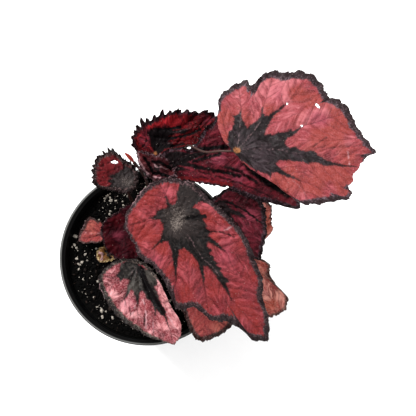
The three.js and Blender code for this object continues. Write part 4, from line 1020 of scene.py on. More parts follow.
def mark_blade(blade, leaf, marks, u, v, inward, edge, seed):
    """Stores what the finishes and the hairs follow at every point of both sides of a blade."""
    tone = [(*place, paler) for *place, paler, _ in leaf["patches"]]
    warm = [(*place, warmer) for *place, _, warmer in leaf["patches"]]
    hairy = np.clip(marks["star"] / 4, 0, 1) * (0.02 + 0.17 * np.clip(marks["ash"], 0, 1))
    fuzz = hairy + 0.6 * edge
    both = {
        "star": marks["star"],
        "rib": marks["rib"],
        "side_vein": marks["side_vein"] / np.maximum(marks["gap"], 0.05),
        "border": inward - leaf["border"] - spots(leaf.get("border_at", []), u, v),
        "tone": 0.25 * marks["tone"] + spots(tone, u, v, PATCH_POWER),
        "warm": 0.3 * wobble(u, v, 9, seed + 5) + spots(warm, u, v, PATCH_POWER),
        "fuzz": fuzz,
        "ash": marks["ash"],
        "joint": np.hypot(u, v) + leaf.get("plain_joint", HIDDEN_JOINT),
        "light_edge": edge * spots(leaf.get("pale_edge", []), u, v),
        "flat_mm": np.stack([u, v, 0 * u + 50 * seed], axis=1),
        "flow_mm": marks["flow"] + [0, 0, 13 * seed],
    }
    both.update((kind + "_line", values) for kind, values in marks["lines"].items())
    for name, values in both.items():
        below = 0.25 * values if name == "fuzz" else values
        mark(blade.data, name, np.concatenate([values, below]))


def leaf_blade(leaf, seed):
    """The blade as one closed thin shell: upper side, underside with raised veins, toothed margin."""
    around, across = leaf["grid"]
    s = np.arange(around) / around
    line = margin_line(leaf, around)
    teeth = toothed_line(leaf, line, s) - line
    t = ((np.arange(across) + 1) / across)[:, None] ** 0.9
    hub = np.array(leaf.get("hub", (0, 0)))
    arm = line - hub
    u, v = (np.append(hub[i], hub[i] + t * (arm[:, i] + teeth[:, i] * t**10)) for i in (0, 1))
    s_all, t_all = (np.append(0, np.broadcast_to(share, (across, around))) for share in (s, t))

    marks = markings(leaf, u, v, seed)
    frill = leaf["frill"] * np.sin(2 * math.pi * leaf["fine"] * 0.31 * s_all + 2 * np.sin(40 * s_all))
    z = blade_height(leaf, u, v, t_all, s_all) + puckers(leaf, marks, u, v, t_all, seed) + frill * t_all**9
    middle = np.stack([u, v, z], axis=1)
    quads = np.array(ring_faces(across, around)) + 1
    quads = quads[~worn_through(leaf, quads, middle)]
    ring = 1 + np.arange(around)
    fan = np.stack([np.zeros(around, int), ring, np.roll(ring, -1)], axis=-1)

    normal = point_normals(middle, quads, fan)
    steep = 1 / np.maximum(normal[:, 2], STEEPEST)
    half = 0.5 * (THIN_MARGIN + (THICK_MIDDLE - THIN_MARGIN) * smooth((1 - t_all) * 8))
    raised = 0.45 * np.exp(-((marks["rib"] / 0.7) ** 2)) * (1 - t_all)
    raised += 0.12 * np.exp(-((marks["side_vein"] / 0.35) ** 2)) * marks["gap"] * smooth((1 - t_all) * 5)
    upward = np.array([0, 0, 1])
    upper = middle + upward * (half * steep)[:, None]
    under = middle - upward * ((half + raised) * steep)[:, None]

    count = len(middle)
    rim = open_edges(quads, fan)
    walls = np.stack([rim[:, 1], rim[:, 0], rim[:, 0] + count, rim[:, 1] + count], axis=1)
    faces = quads.tolist() + fan.tolist() + walls.tolist()
    upper_faces = len(faces)
    faces += (quads[:, ::-1] + count).tolist() + (fan[:, ::-1] + count).tolist()
    turn = turn_about_z(leaf["azimuth"])
    points = (np.vstack([upper, under]) @ turn + np.array(leaf["at"])) * MM
    name = leaf["name"] + ("_blade" if "stalk" in leaf else "")
    blade = link_mesh("living_" + name, points, faces, sharp=70)
    blade.data.polygons.foreach_set("material_index", [0] * upper_faces + [1] * (len(faces) - upper_faces))

    tangent = np.roll(line, -1, axis=0) - np.roll(line, 1, axis=0)
    tangent /= np.linalg.norm(tangent, axis=1)[:, None]
    slant = np.abs(arm[:, 0] * tangent[:, 1] - arm[:, 1] * tangent[:, 0])
    inward = np.append(slant.mean(), (1 - t) * slant)
    mark_blade(blade, leaf, marks, u, v, inward, (t_all > 0.985) * 1.0, seed)
    nearest = int(np.argmin(np.hypot(u, v)))
    return blade, points[count + nearest] / MM, normal[nearest] @ turn


# ---------------------------------------------------------------- finishes

def start_finish(name, roughness, **constants):
    """An empty material with one shader, whose constant sockets are set here."""
    material = bpy.data.materials.new(name)
    material.use_nodes = True
    tree = material.node_tree
    shader = tree.nodes["Principled BSDF"]
    shader.inputs["Roughness"].default_value = roughness
    for socket, value in constants.items():
        shader.inputs[socket.replace("_", " ")].default_value = value
    return material, tree, shader


def lay_over(tree, colour, follow, low, high, strength, code):
    """Lays a colour over another where what it follows runs from low to high."""
    share = put(tree, "ShaderNodeMapRange", {0: follow, 1: low, 2: high, 3: 0.0, 4: strength})
    return put(tree, "ShaderNodeMix", {0: share, 6: colour, 7: linear(code)}, out=2, data_type="RGBA")


def end_finish(tree, shader, colour, height, depth, strength):
    """Joins the colour to the shader, with a bump of a real depth in mm."""
    tree.links.new(colour, shader.inputs["Base Color"])
    bump = put(tree, "ShaderNodeBump", {"Strength": strength, "Distance": depth * MM, "Height": height})
    tree.links.new(bump, shader.inputs["Normal"])


BLADE_FINISHES = {
    # shine, field, pale streaks, deep blotches, warm blotches, star, ash on it, margin, ash on it
    "rose": (
        0.14, "#7c2f34", "#a65c61", "#4a1518", "#7a2f28", "#150f10", "#31262a", "#231719", "#68525a",
    ),
    "brick_rose": (
        0.1, "#641e22", "#964349", "#3a0d0e", "#70201c", "#0b0808", "#282120", "#1e1416", "#5e484a",
    ),
    "pink": (
        0.14, "#6c252d", "#d29496", "#360a12", "#74222a", "#181515", "#44403c", "#1c1817", "#6c6058",
    ),
    "blood": (
        0.04, "#20060a", "#84181e", "#060101", "#3c080c", "#060304", "#120a0c", "#100607", "#422830",
    ),
    "plum": (
        0.05, "#2c080e", "#742430", "#090102", "#4c1018", "#090506", "#1c1214", "#100608", "#4a363e",
    ),
    "ash_maroon": (
        0.06, "#401014", "#683034", "#120506", "#5c1216", "#0e0b0b", "#302a2a", "#150d0e", "#5e4a48",
    ),
    "maroon": (
        0.03, "#1d0408", "#3e0a14", "#0c0103", "#36050a", "#0c0304", "#180a0c", "#120508", "#2c1a1e",
    ),
    "wine": (
        0.06, "#2e080e", "#702a36", "#0e0203", "#4c101a", "#0a0506", "#221618", "#100709", "#48333a",
    ),
    "salmon": (
        0.14, "#86302e", "#d08e80", "#421412", "#963a2a", "#341815", "#52332f", "#301816", "#8c665c",
    ),
    "dusk_rose": (
        0.12, "#66262a", "#a8584e", "#42161a", "#78282a", "#2a1517", "#4c3133", "#22110f", "#5a403e",
    ),
    "young": (
        0.06, "#2a0c10", "#5c2e32", "#0b0304", "#4c1014", "#120a0b", "#302222", "#1c1011", "#7c5e64",
    ),
    "withered": (
        0.12, "#3a2810", "#92743e", "#150c06", "#5a2e14", "#20140c", "#3e2e1c", "#4a3820", "#bfa678",
    ),
}
# Tints that every blade has: hairs, pale veins and edges (on ridges also a painted highlight), the cool and
# tan parts, dust, red lines, and the painted shade of creases and folds.
SHARED_TINTS = {
    "hairs": "#8c8078", "light": "#a88488", "cool": "#843848", "joint": "#96603a", "dust": "#c9b8ae",
    "red_line": "#6c1418", "crease_shade": "#060304",
}

# Laid over the field one after another, each where the sum of what it follows is high enough.
BLADE_LAYERS = [
    # tint, weights of what its share follows, where it starts, where it is full, strength, only inside
    ("pale", {"streak": 1.2, "broad": 1.5, "mottle": 1.0, "tone": 1.3, "blotch": 1.0},
     2.3, 3.3, 0.95, None),
    ("deep", {"streak": -1.2, "broad": -1.4, "tone": -1.4, "mottle": -1.1, "blotch": -1.0},
     -2.05, -1.2, 0.95, None),
    ("pale", {"streak": 1.6, "broad": 2.4}, 2.02, 2.5, 0.5, None),
    ("deep", {"streak": -1.6, "broad": -2.4}, -1.98, -1.5, 0.45, None),
    ("cool", {"warm": -1.2, "blotch": -0.9, "mottle": -0.4}, -0.55, 0.3, 0.5, None),
    ("warm", {"warm": 1.2, "blotch": 0.9, "mottle": 0.5}, 0.55, 1.25, 0.9, None),
    ("deep", {"side_vein": -1.0, "mottle": 0.8}, -0.2, 0.4, 0.55, None),
    ("deep", {"grain": -1.0, "mottle": -1.0}, -0.88, -0.62, 0.45, None),
    ("pale", {"pebble": 1.0, "grain": 0.6}, 0.6, 1.1, 0.26, None),
    ("star", {"rib": -1.0, "mottle": 0.9, "streak": 0.5}, 0.3, 0.75, 0.3, None),
    ("star", {"star": 1.0, "streak": 2.6, "mottle": 1.4}, 1.45, 2.5, 1.0, None),
    ("ash", {"ash": 0.6, "mottle": 1.4, "broad": 1.2, "streak": 1.0, "star": 0.02},
     1.75, 2.35, 0.9, "star"),
    ("hairs", {"ash": 0.6, "grain": 1.6}, 1.35, 2.1, 0.7, "star"),
    ("hairs", {"rib": -1.2, "joint": -0.07, "streak": 0.5, "ash": 0.9}, -0.1, 0.5, 0.3, "star"),
    # Pale lines: the leaf's pale veins and streaks, and on the ridges of the folded and crumpled leaves a
    # painted highlight.
    ("light", {"pale_line": 1.0, "mottle": 0.9, "streak": 0.5}, 0.95, 1.6, 0.6, None),
    # Dark lines: painted shade in folds and creases, and on the folded middle leaf a painted cast shadow.
    ("crease_shade", {"dark_line": 1.0, "mottle": 0.5, "streak": 0.3}, 0.65, 1.2, 1.0, None),
    ("rim", {"border": -1.0, "streak": 2.8, "mottle": 2.4, "blotch": 1.2}, 2.7, 3.7, 1.0, None),
    ("rim_ash", {"mottle": 1.9, "grain": 1.1, "border": 0.12}, 1.3, 1.8, 0.9, "rim"),
    ("light", {"light_edge": 1.0, "mottle": 1.6, "streak": 1.0}, 1.75, 2.35, 0.65, None),
    ("red_line", {"red_line": 1.0, "mottle": 0.6}, 0.6, 1.1, 0.7, None),
    ("joint", {"joint": -1.0, "mottle": 2.5, "blotch": 1.0}, -0.6, 0.7, 0.8, None),
    ("dust", {"fleck": -1.0}, -0.1, -0.05, 0.2, None),
]


def blade_finish(name, colours):
    """Upper side of a living rex begonia blade: satin and pebbled, with a feathered dark star along
    the main veins, a rose field streaked along the side veins and a dark crisp margin."""
    material, tree, shader = start_finish(name + "_begonia_blade_satin", 0.5, Specular_IOR_Level=colours[0])
    names = ("field", "pale", "deep", "warm", "star", "ash", "rim", "rim_ash")
    tints = {**dict(zip(names, colours[1:])), **SHARED_TINTS}
    follow = {
        key: put(tree, "ShaderNodeAttribute", out="Fac", attribute_name=key)
        for key in ("star", "rib", "side_vein", "border", "tone", "warm", "joint", "ash", "dark_line",
                    "pale_line", "red_line", "light_edge")
    }
    flat = put(tree, "ShaderNodeAttribute", out="Vector", attribute_name="flat_mm")
    flow = put(tree, "ShaderNodeAttribute", out="Vector", attribute_name="flow_mm")
    # Streaks 0.9 and 2.4 mm wide run along the side veins, blotches are 5 mm, mottling 1.1 mm, grain and
    # pebbles 0.6 mm: finer hairs and cells are drawn this coarse because a photograph blurs them.
    textures = [
        ("streak", "ShaderNodeTexNoise", {"Vector": flow, "Scale": 1 / 0.9, "Detail": 4, "Roughness": 0.65}),
        ("broad", "ShaderNodeTexNoise", {"Vector": flow, "Scale": 1 / 2.4, "Detail": 2, "Roughness": 0.5}),
        ("blotch", "ShaderNodeTexNoise", {"Vector": flat, "Scale": 1 / 5, "Detail": 3, "Distortion": 0.8}),
        ("mottle", "ShaderNodeTexNoise", {"Vector": flat, "Scale": 1 / 1.1, "Detail": 4, "Roughness": 0.7}),
        ("grain", "ShaderNodeTexNoise", {"Vector": flat, "Scale": 1 / 0.6, "Detail": 2, "Roughness": 0.6}),
        ("pebble", "ShaderNodeTexVoronoi", {"Vector": flat, "Scale": 1 / 0.7}),
        ("fleck", "ShaderNodeTexVoronoi", {"Vector": flat, "Scale": 1 / 2.6}),
    ]
    for key, kind, sockets in textures:
        follow[key] = put(tree, kind, sockets)

    colour = linear(tints["field"])
    shares = {}
    for tint, weights, start, full, strength, inside in BLADE_LAYERS:
        run = 0.0
        for key, weight in weights.items():
            run = put(tree, "ShaderNodeMath", {0: follow[key], 1: weight, 2: run}, operation="MULTIPLY_ADD")
        share = put(tree, "ShaderNodeMapRange", {0: run, 1: start, 2: full, 3: 0.0, 4: strength},
                    interpolation_type="SMOOTHSTEP")
        if inside:
            share = put(tree, "ShaderNodeMath", {0: share, 1: shares[inside]}, operation="MULTIPLY")
        shares[tint] = share
        layer = {0: share, 6: colour, 7: linear(tints[tint])}
        colour = put(tree, "ShaderNodeMix", layer, out=2, data_type="RGBA")

    gloss = put(tree, "ShaderNodeMapRange", {0: follow["mottle"], 1: 0.35, 2: 0.65, 3: 0.36, 4: 0.6})
    tree.links.new(gloss, shader.inputs["Roughness"])
    height = 0.0
    relief = {"pebble": -0.25, "mottle": 0.45, "streak": 0.8, "broad": 1.6, "grain": 0.2}
    for key, weight in relief.items():
        height = put(tree, "ShaderNodeMath", {0: follow[key], 1: weight, 2: height},
                     operation="MULTIPLY_ADD")
    end_finish(tree, shader, colour, height, 0.45, 0.85)
    return material


def underside_finish():
    """Underside of a begonia blade: dull wine red with paler, fleshy raised veins."""
    material, tree, shader = start_finish("begonia_underside_wine", 0.6, Specular_IOR_Level=0.2)
    flat = put(tree, "ShaderNodeAttribute", out="Vector", attribute_name="flat_mm")
    rib = put(tree, "ShaderNodeAttribute", out="Fac", attribute_name="rib")
    side_vein = put(tree, "ShaderNodeAttribute", out="Fac", attribute_name="side_vein")
    # Mottling 1.5 mm across, cells 0.6 mm.
    mottle = put(tree, "ShaderNodeTexNoise",
                 {"Vector": flat, "Scale": 1 / 1.5, "Detail": 4, "Roughness": 0.65})
    cells = put(tree, "ShaderNodeTexVoronoi", {"Vector": flat, "Scale": 1 / 0.6})
    colour = lay_over(tree, linear("#24080c"), mottle, 0, 1, 1, "#54181f")
    colour = lay_over(tree, colour, side_vein, 0.4, 0.12, 0.4, "#8a4a42")
    colour = lay_over(tree, colour, rib, 0.9, 0.27, 0.7, "#8a4a42")
    end_finish(tree, shader, colour, cells, 0.15, 0.5)
    return material


def stalk_finish():
    """Begonia petiole: fleshy, dark wine red, with lengthwise streaks and a painted highlight that makes it
    paler where it faces up.
    """
    material, tree, shader = start_finish("begonia_petiole_flesh", 0.5, Specular_IOR_Level=0.2)
    along = put(tree, "ShaderNodeAttribute", out="Vector", attribute_name="stalk_mm")
    # Streaks are about 0.3 mm wide and 2 mm long on a stalk of 1.3 mm radius.
    streak = put(tree, "ShaderNodeTexNoise", {"Vector": along, "Scale": 1 / 0.5, "Detail": 3})
    up = put(tree, "ShaderNodeSeparateXYZ", {0: put(tree, "ShaderNodeTexCoord", out="Normal")}, out="Z")
    colour = lay_over(tree, linear("#100506"), streak, 0, 1, 1, "#2e1210")
    # Paler where the surface faces up: a painted highlight along the top of the stalk.
    colour = lay_over(tree, colour, up, 0.3, 1.1, 1, "#3c241c")
    end_finish(tree, shader, colour, streak, 0.15, 0.6)
    return material


GROUND_FINISHES = {
    # name, roughness, colours, sizes in mm with the noise range that blends each in, bump depth and size
    # Painted board: matt, white, with the faintest unevenness.
    "floor": ("matt_white_board", 0.9, ("#fcfcfc", "#ffffff"), [(60, 0.4, 0.6)], (0.05, 3), 0.1),
    # Fine leaf hairs: pale, thin and dry.
    "hair": ("pale_leaf_hair", 0.6, ("#6a524e", "#9c8680"), [(3, 0.4, 0.6)], (0.01, 1), 0.15),
    # Damp peat: near black, crumbly and quite dull.
    "peat": ("damp_peat_soil", 0.9, ("#020202", "#060504", "#120e0b"),
             [(2.2, 0.45, 0.65), (0.7, 0.6, 0.75)], (0.5, 0.8), 0.05),
    # Composted bark: brown chips, ragged and dull.
    "bark": ("composted_bark", 0.8, ("#0d0806", "#2a1a12"), [(0.8, 0.4, 0.7)], (0.2, 0.6), 0.2),
    # Perlite: white expanded glass foam, dusty, with warm peat stains.
    "perlite": ("perlite_grain", 0.85, ("#8f877d", "#5c5344", "#c4bcb0"),
                [(1.1, 0.5, 0.7), (0.4, 0.45, 0.7)], (0.12, 0.5), 0.2),
    # Rhizome: a corky creeping stem, brown with scars of old petioles.
    "rhizome": ("corky_rhizome", 0.75, ("#2c1610", "#502a1e", "#150b08"),
                [(2.5, 0.4, 0.65), (0.8, 0.6, 0.75)], (0.3, 0.9), 0.3),
    # A folded young leaf in its bract: thin, fleshy and bright orange red.
    "bud": ("red_bud_flesh", 0.45, ("#8e1f18", "#c25a3c", "#640f12"),
            [(1.2, 0.5, 0.7), (0.5, 0.6, 0.8)], (0.06, 0.4), 0.35),
}


def ground_finish(name, roughness, colours, sizes, bump, specular):
    """A surface whose colours are blended by noise of real sizes, with a bump of a real depth."""
    material, tree, shader = start_finish(name, roughness, Specular_IOR_Level=specular)
    place = put(tree, "ShaderNodeTexCoord", out="Object")
    colour = linear(colours[0])
    for code, (size, low, high) in zip(colours[1:], sizes):
        noise = put(tree, "ShaderNodeTexNoise",
                    {"Vector": place, "Scale": 1 / (size * MM), "Detail": 5, "Roughness": 0.65})
        colour = lay_over(tree, colour, noise, low, high, 1, code)
    depth, size = bump
    relief = put(tree, "ShaderNodeTexNoise",
                 {"Vector": place, "Scale": 1 / (size * MM), "Detail": 4, "Roughness": 0.7})
    end_finish(tree, shader, colour, relief, depth, 0.8)
    return material


def pot_finish():
    """Injection-moulded polypropylene: black and faintly grained, painted near black inside the wall as
    painted shade, and grey along the top of the lip, partly rubbed dust and partly a painted highlight."""
    material, tree, shader = start_finish("moulded_black_polypropylene", 0.5, Specular_IOR_Level=0.16)
    place = put(tree, "ShaderNodeTexCoord", out="Object")
    outward = put(tree, "ShaderNodeTexCoord", out="Normal")
    # Flow marks 9 mm across, dust specks 1.3 mm and a moulded grain of 0.4 mm.
    marks = put(tree, "ShaderNodeTexNoise", {"Vector": place, "Scale": 1 / (9 * MM), "Detail": 3})
    specks = put(tree, "ShaderNodeTexNoise", {"Vector": place, "Scale": 1 / (1.3 * MM), "Detail": 5})
    grain = put(tree, "ShaderNodeTexNoise", {"Vector": place, "Scale": 1 / (0.4 * MM), "Detail": 3})
    height = put(tree, "ShaderNodeSeparateXYZ", {0: place}, out="Z")
    # Faces that look into the pot are painted near black: painted shade on the inside of the wall.
    inward = put(tree, "ShaderNodeVectorMath", {0: outward, 1: place}, operation="MULTIPLY")
    inward = put(tree, "ShaderNodeVectorMath", {0: inward, 1: (-1, -1, 0)}, out="Value",
                 operation="DOT_PRODUCT")
    colour = lay_over(tree, linear("#08090a"), marks, 0.4, 0.6, 1, "#0d0e0e")
    colour = lay_over(tree, colour, specks, 0.64, 0.8, 0.8, "#23221f")
    # Grey along the top of the lip: partly rubbed dust, partly a painted highlight.
    dust_and_highlight_from = (POT_HEIGHT - 0.16) * MM
    dust_and_highlight_at = (POT_HEIGHT - 0.02) * MM
    colour = lay_over(tree, colour, height, dust_and_highlight_from, dust_and_highlight_at, 0.9, "#5a5a58")
    colour = lay_over(tree, colour, inward, 0.004, 0.018, 1, "#010101")
    end_finish(tree, shader, colour, grain, 0.03, 0.7)
    return material


def make_finishes():
    """Every material of the plant and its pot."""
    finishes = {name: blade_finish(name, colours) for name, colours in BLADE_FINISHES.items()}
    finishes.update((name, ground_finish(*values)) for name, values in GROUND_FINISHES.items())
    finishes["underside"] = underside_finish()
    finishes["stalk"] = stalk_finish()
    finishes["plastic"] = pot_finish()
    return finishes


# ---------------------------------------------------------------- node trees that grow the repeated parts

SOCKET_KINDS = {float: "NodeSocketFloat", int: "NodeSocketInt", str: "NodeSocketMaterial"}


def start_tree(name, **sizes):
    """A node tree with geometry in and out and a named input for each size; a text means a material."""
    tree = bpy.data.node_groups.new(name, "GeometryNodeTree")
    tree.interface.new_socket("Geometry", in_out="INPUT", socket_type="NodeSocketGeometry")
    tree.interface.new_socket("Geometry", in_out="OUTPUT", socket_type="NodeSocketGeometry")
    for label, value in sizes.items():
        socket = tree.interface.new_socket(
            label.replace("_", " "), in_out="INPUT", socket_type=SOCKET_KINDS[type(value)]
        )
        if not isinstance(value, str):
            socket.default_value = value
    given = tree.nodes.new("NodeGroupInput").outputs
    return tree, given


def end_tree(tree, geometry, material):
    """Closes a tree: real geometry, smooth shading and one material."""
    geometry = put(tree, "GeometryNodeRealizeInstances", {"Geometry": geometry})
    geometry = put(tree, "GeometryNodeSetShadeSmooth", {"Geometry": geometry})
    geometry = put(tree, "GeometryNodeSetMaterial", {"Geometry": geometry, "Material": material})
    put(tree, "NodeGroupOutput", {"Geometry": geometry})
    return tree


def grow(name, source, tree, **sizes):
    """Runs a tree on a source object and keeps the result as a plain mesh object of its own."""
    modifier = source.modifiers.new("growth", "NODES")
    modifier.node_group = tree
    for item in tree.interface.items_tree:
        label = item.name.replace(" ", "_")
        if item.in_out == "INPUT" and label in sizes:
            modifier[item.identifier] = sizes[label]
    seen = source.evaluated_get(bpy.context.evaluated_depsgraph_get())
    mesh = bpy.data.meshes.new_from_object(seen)
    source.modifiers.remove(modifier)
    mesh.name = name
    thing = bpy.data.objects.new(name, mesh)
    bpy.context.scene.collection.objects.link(thing)
    return thing


# A petiole's pattern takes this many steps per metre of its length, and one step per radius across
# it, and its ridges are magnified because noise stays near its middle.
STEPS_PER_METRE = 120.0
RIDGE_GAIN = 4.0


def petiole_tree():
    """A fleshy stalk swept along its centre line, as thick as its points say and ridged lengthwise."""
    tree, given = start_tree("petiole", Rings=40, Sides=14, Ridge_depth=0.12 * MM, Ridge_width=1.1, Flesh="")
    line = put(tree, "GeometryNodeMeshToCurve", {"Mesh": given["Geometry"]})
    line = put(tree, "GeometryNodeResampleCurve", {"Curve": line, "Count": given["Rings"]})
    run = put(tree, "GeometryNodeSplineParameter", out="Length")
    line = put(tree, "GeometryNodeStoreNamedAttribute", {"Geometry": line, "Name": "along", "Value": run})
    ring = put(tree, "GeometryNodeCurvePrimitiveCircle", {"Resolution": given["Sides"], "Radius": 1.0})
    place = put(tree, "GeometryNodeInputPosition")
    ring = put(tree, "GeometryNodeStoreNamedAttribute", {"Geometry": ring, "Name": "round", "Value": place},
               data_type="FLOAT_VECTOR")
    thick = put(tree, "GeometryNodeInputNamedAttribute", {"Name": "thick"}, data_type="FLOAT")
    tube = put(tree, "GeometryNodeCurveToMesh",
               {"Curve": line, "Profile Curve": ring, "Scale": thick, "Fill Caps": True})
    along = put(tree, "GeometryNodeInputNamedAttribute", {"Name": "along"}, data_type="FLOAT")
    about = put(tree, "GeometryNodeInputNamedAttribute", {"Name": "round"}, data_type="FLOAT_VECTOR")
    lift = put(tree, "ShaderNodeMath", {0: along, 1: STEPS_PER_METRE}, operation="MULTIPLY")
    lift = put(tree, "ShaderNodeCombineXYZ", {"Z": lift})
    where = put(tree, "ShaderNodeVectorMath", {0: about, 1: lift}, operation="ADD")
    ridge = put(tree, "ShaderNodeTexNoise", {"Vector": where, "Scale": given["Ridge width"], "Detail": 2.0})
    swell = put(tree, "ShaderNodeMath", {0: ridge, 1: 0.5}, operation="SUBTRACT")
    swell = put(tree, "ShaderNodeMath", {0: swell, 1: given["Ridge depth"]}, operation="MULTIPLY")
    swell = put(tree, "ShaderNodeMath", {0: swell, 1: RIDGE_GAIN}, operation="MULTIPLY")
    outward = put(tree, "GeometryNodeInputNormal")
    shift = put(tree, "ShaderNodeVectorMath", {0: outward, "Scale": swell}, operation="SCALE")
    tube = put(tree, "GeometryNodeSetPosition", {"Geometry": tube, "Offset": shift})
    streaks = put(tree, "ShaderNodeVectorMath", {0: where, "Scale": 2.0}, operation="SCALE")
    tube = put(tree, "GeometryNodeStoreNamedAttribute",
               {"Geometry": tube, "Name": "stalk_mm", "Value": streaks}, data_type="FLOAT_VECTOR")
    return end_tree(tree, tube, given["Flesh"])


def hair_tree():
    """Fine bent hairs standing on a surface, as dense as its fuzz attribute says."""
    tree, given = start_tree(
        "leaf hairs", Hairs_per_area=4.0e6, Hair_length=1.3 * MM, Hair_radius=0.05 * MM, Lean=0.7, Seed=1,
        Keratin="",
    )
    fuzz = put(tree, "GeometryNodeInputNamedAttribute", {"Name": "fuzz"}, data_type="FLOAT")
    dense = put(tree, "ShaderNodeMath", {0: fuzz, 1: given["Hairs per area"]}, operation="MULTIPLY")
    roots = put(tree, "GeometryNodeDistributePointsOnFaces",
                {"Mesh": given["Geometry"], "Density": dense, "Seed": given["Seed"]})
    outward = roots.node.outputs["Normal"]
    stray = put(tree, "FunctionNodeRandomValue", {0: (-1, -1, -1), 1: (1, 1, 1), "Seed": given["Seed"]},
                data_type="FLOAT_VECTOR")
    stray = put(tree, "ShaderNodeVectorMath", {0: stray, "Scale": given["Lean"]}, operation="SCALE")
    heading = put(tree, "ShaderNodeVectorMath", {0: outward, 1: stray}, operation="ADD")
    turn = put(tree, "FunctionNodeAlignRotationToVector", {"Vector": heading}, axis="Z")
    size = put(tree, "FunctionNodeRandomValue", {2: 0.45, 3: 1.0, "Seed": given["Seed"]},
               out=1, data_type="FLOAT")
    hair = put(tree, "GeometryNodeMeshCone", {
        "Vertices": 3, "Side Segments": 3, "Radius Top": 0.00001, "Radius Bottom": given["Hair radius"],
        "Depth": given["Hair length"],
    })
    place = put(tree, "GeometryNodeInputPosition")
    height = put(tree, "ShaderNodeSeparateXYZ", {0: place}, out="Z")
    bent = put(tree, "ShaderNodeMath", {0: height, 1: given["Hair length"]}, operation="DIVIDE")
    bent = put(tree, "ShaderNodeMath", {0: bent, 1: height}, operation="MULTIPLY")
    bent = put(tree, "ShaderNodeMath", {0: bent, 1: 0.4}, operation="MULTIPLY")
    bent = put(tree, "ShaderNodeCombineXYZ", {"X": bent})
    hair = put(tree, "GeometryNodeSetPosition", {"Geometry": hair, "Offset": bent})
    coat = put(tree, "GeometryNodeInstanceOnPoints",
               {"Points": roots, "Instance": hair, "Rotation": turn, "Scale": size})
    return end_tree(tree, coat, given["Keratin"])


def grain_tree():
    """Loose grains strewn over the soil: each one turned, sized and lumped differently."""
    tree, given = start_tree(
        "soil grains", Grains_per_area=4.0e4, Spacing=0.5 * MM, Largest=1.5 * MM, Smallest_share=0.4,
        Width_share=0.8, Thickness_share=0.6, Lumps=0.5 * MM, Lump_size=1.0 * MM, Sink=0.3 * MM,
        Roundness=1, Thinned=0.0, Seed=1, Matter="",
    )
    bare = put(tree, "GeometryNodeInputNamedAttribute", {"Name": "bare"}, data_type="FLOAT")
    bare = put(tree, "ShaderNodeMath", {0: bare, 1: given["Thinned"]}, operation="MULTIPLY")
    share = put(tree, "ShaderNodeMath", {0: 1.0, 1: bare}, operation="SUBTRACT")
    sown = put(tree, "GeometryNodeDistributePointsOnFaces",
               {"Mesh": given["Geometry"], "Distance Min": given["Spacing"], "Seed": given["Seed"],
                "Density Max": given["Grains per area"], "Density Factor": share},
               distribute_method="POISSON")
    down = put(tree, "ShaderNodeMath", {0: given["Sink"], 1: -1.0}, operation="MULTIPLY")
    sown = put(tree, "GeometryNodeSetPosition",
               {"Geometry": sown, "Offset": put(tree, "ShaderNodeCombineXYZ", {"Z": down})})
    grain = put(tree, "GeometryNodeMeshIcoSphere",
                {"Radius": given["Largest"], "Subdivisions": given["Roundness"]})
    shape = put(tree, "ShaderNodeCombineXYZ",
                {"X": 1.0, "Y": given["Width share"], "Z": given["Thickness share"]})
    grain = put(tree, "GeometryNodeTransform", {"Geometry": grain, "Scale": shape})
    turn = put(tree, "FunctionNodeRandomValue",
               {0: (0, 0, 0), 1: (6.28, 6.28, 6.28), "Seed": given["Seed"]},
               data_type="FLOAT_VECTOR")
    size = put(tree, "FunctionNodeRandomValue", {2: given["Smallest share"], 3: 1.0, "Seed": given["Seed"]},
               out=1, data_type="FLOAT")
    strewn = put(tree, "GeometryNodeInstanceOnPoints",
                 {"Points": sown, "Instance": grain, "Rotation": turn, "Scale": size})
    strewn = put(tree, "GeometryNodeRealizeInstances", {"Geometry": strewn})
    place = put(tree, "GeometryNodeInputPosition")
    pace = put(tree, "ShaderNodeMath", {0: 1.0, 1: given["Lump size"]}, operation="DIVIDE")
    lumps = put(tree, "ShaderNodeTexNoise", {"Vector": place, "Scale": pace, "Detail": 1.0}, out="Color")
    lumps = put(tree, "ShaderNodeVectorMath", {0: lumps, 1: (0.5, 0.5, 0.5)}, operation="SUBTRACT")
    lumps = put(tree, "ShaderNodeVectorMath", {0: lumps, "Scale": given["Lumps"]}, operation="SCALE")
    strewn = put(tree, "GeometryNodeSetPosition", {"Geometry": strewn, "Offset": lumps})
    return end_tree(tree, strewn, given["Matter"])


def drilled_tree():
    """A turned pot with a ring of round drainage holes through its floor."""
    tree, given = start_tree(
        "drilled pot", Holes=DRAIN_COUNT, Ring_radius=DRAIN_RING_RADIUS * MM,
        Hole_radius=DRAIN_RADIUS * MM, Plastic="",
    )
    ring = put(tree, "GeometryNodeMeshCircle", {"Vertices": given["Holes"], "Radius": given["Ring radius"]})
    drill = put(tree, "GeometryNodeMeshCylinder",
                {"Vertices": 40, "Radius": given["Hole radius"], "Depth": 8 * MM})
    drills = put(tree, "GeometryNodeInstanceOnPoints", {"Points": ring, "Instance": drill})
    drills = put(tree, "GeometryNodeRealizeInstances", {"Geometry": drills})
    drilled = put(tree, "GeometryNodeMeshBoolean", {"Mesh 1": given["Geometry"], "Mesh 2": drills},
                  operation="DIFFERENCE", solver="EXACT")
    drilled = put(tree, "GeometryNodeSetMaterial", {"Geometry": drilled, "Material": given["Plastic"]})
    put(tree, "NodeGroupOutput", {"Geometry": drilled})
    return tree


# ---------------------------------------------------------------- petioles, rhizome and bud

STALK_POINTS = 60


def line_object(name, points, thick):
    """A bare polyline at the origin with a thickness at each point, both in millimetres."""
    mesh = bpy.data.meshes.new(name)
    mesh.from_pydata((np.asarray(points) * MM).tolist(), [(i, i + 1) for i in range(len(points) - 1)], [])
    mark(mesh, "thick", np.asarray(thick) * MM)
    thing = bpy.data.objects.new(name, mesh)
    bpy.context.scene.collection.objects.link(thing)
    return thing


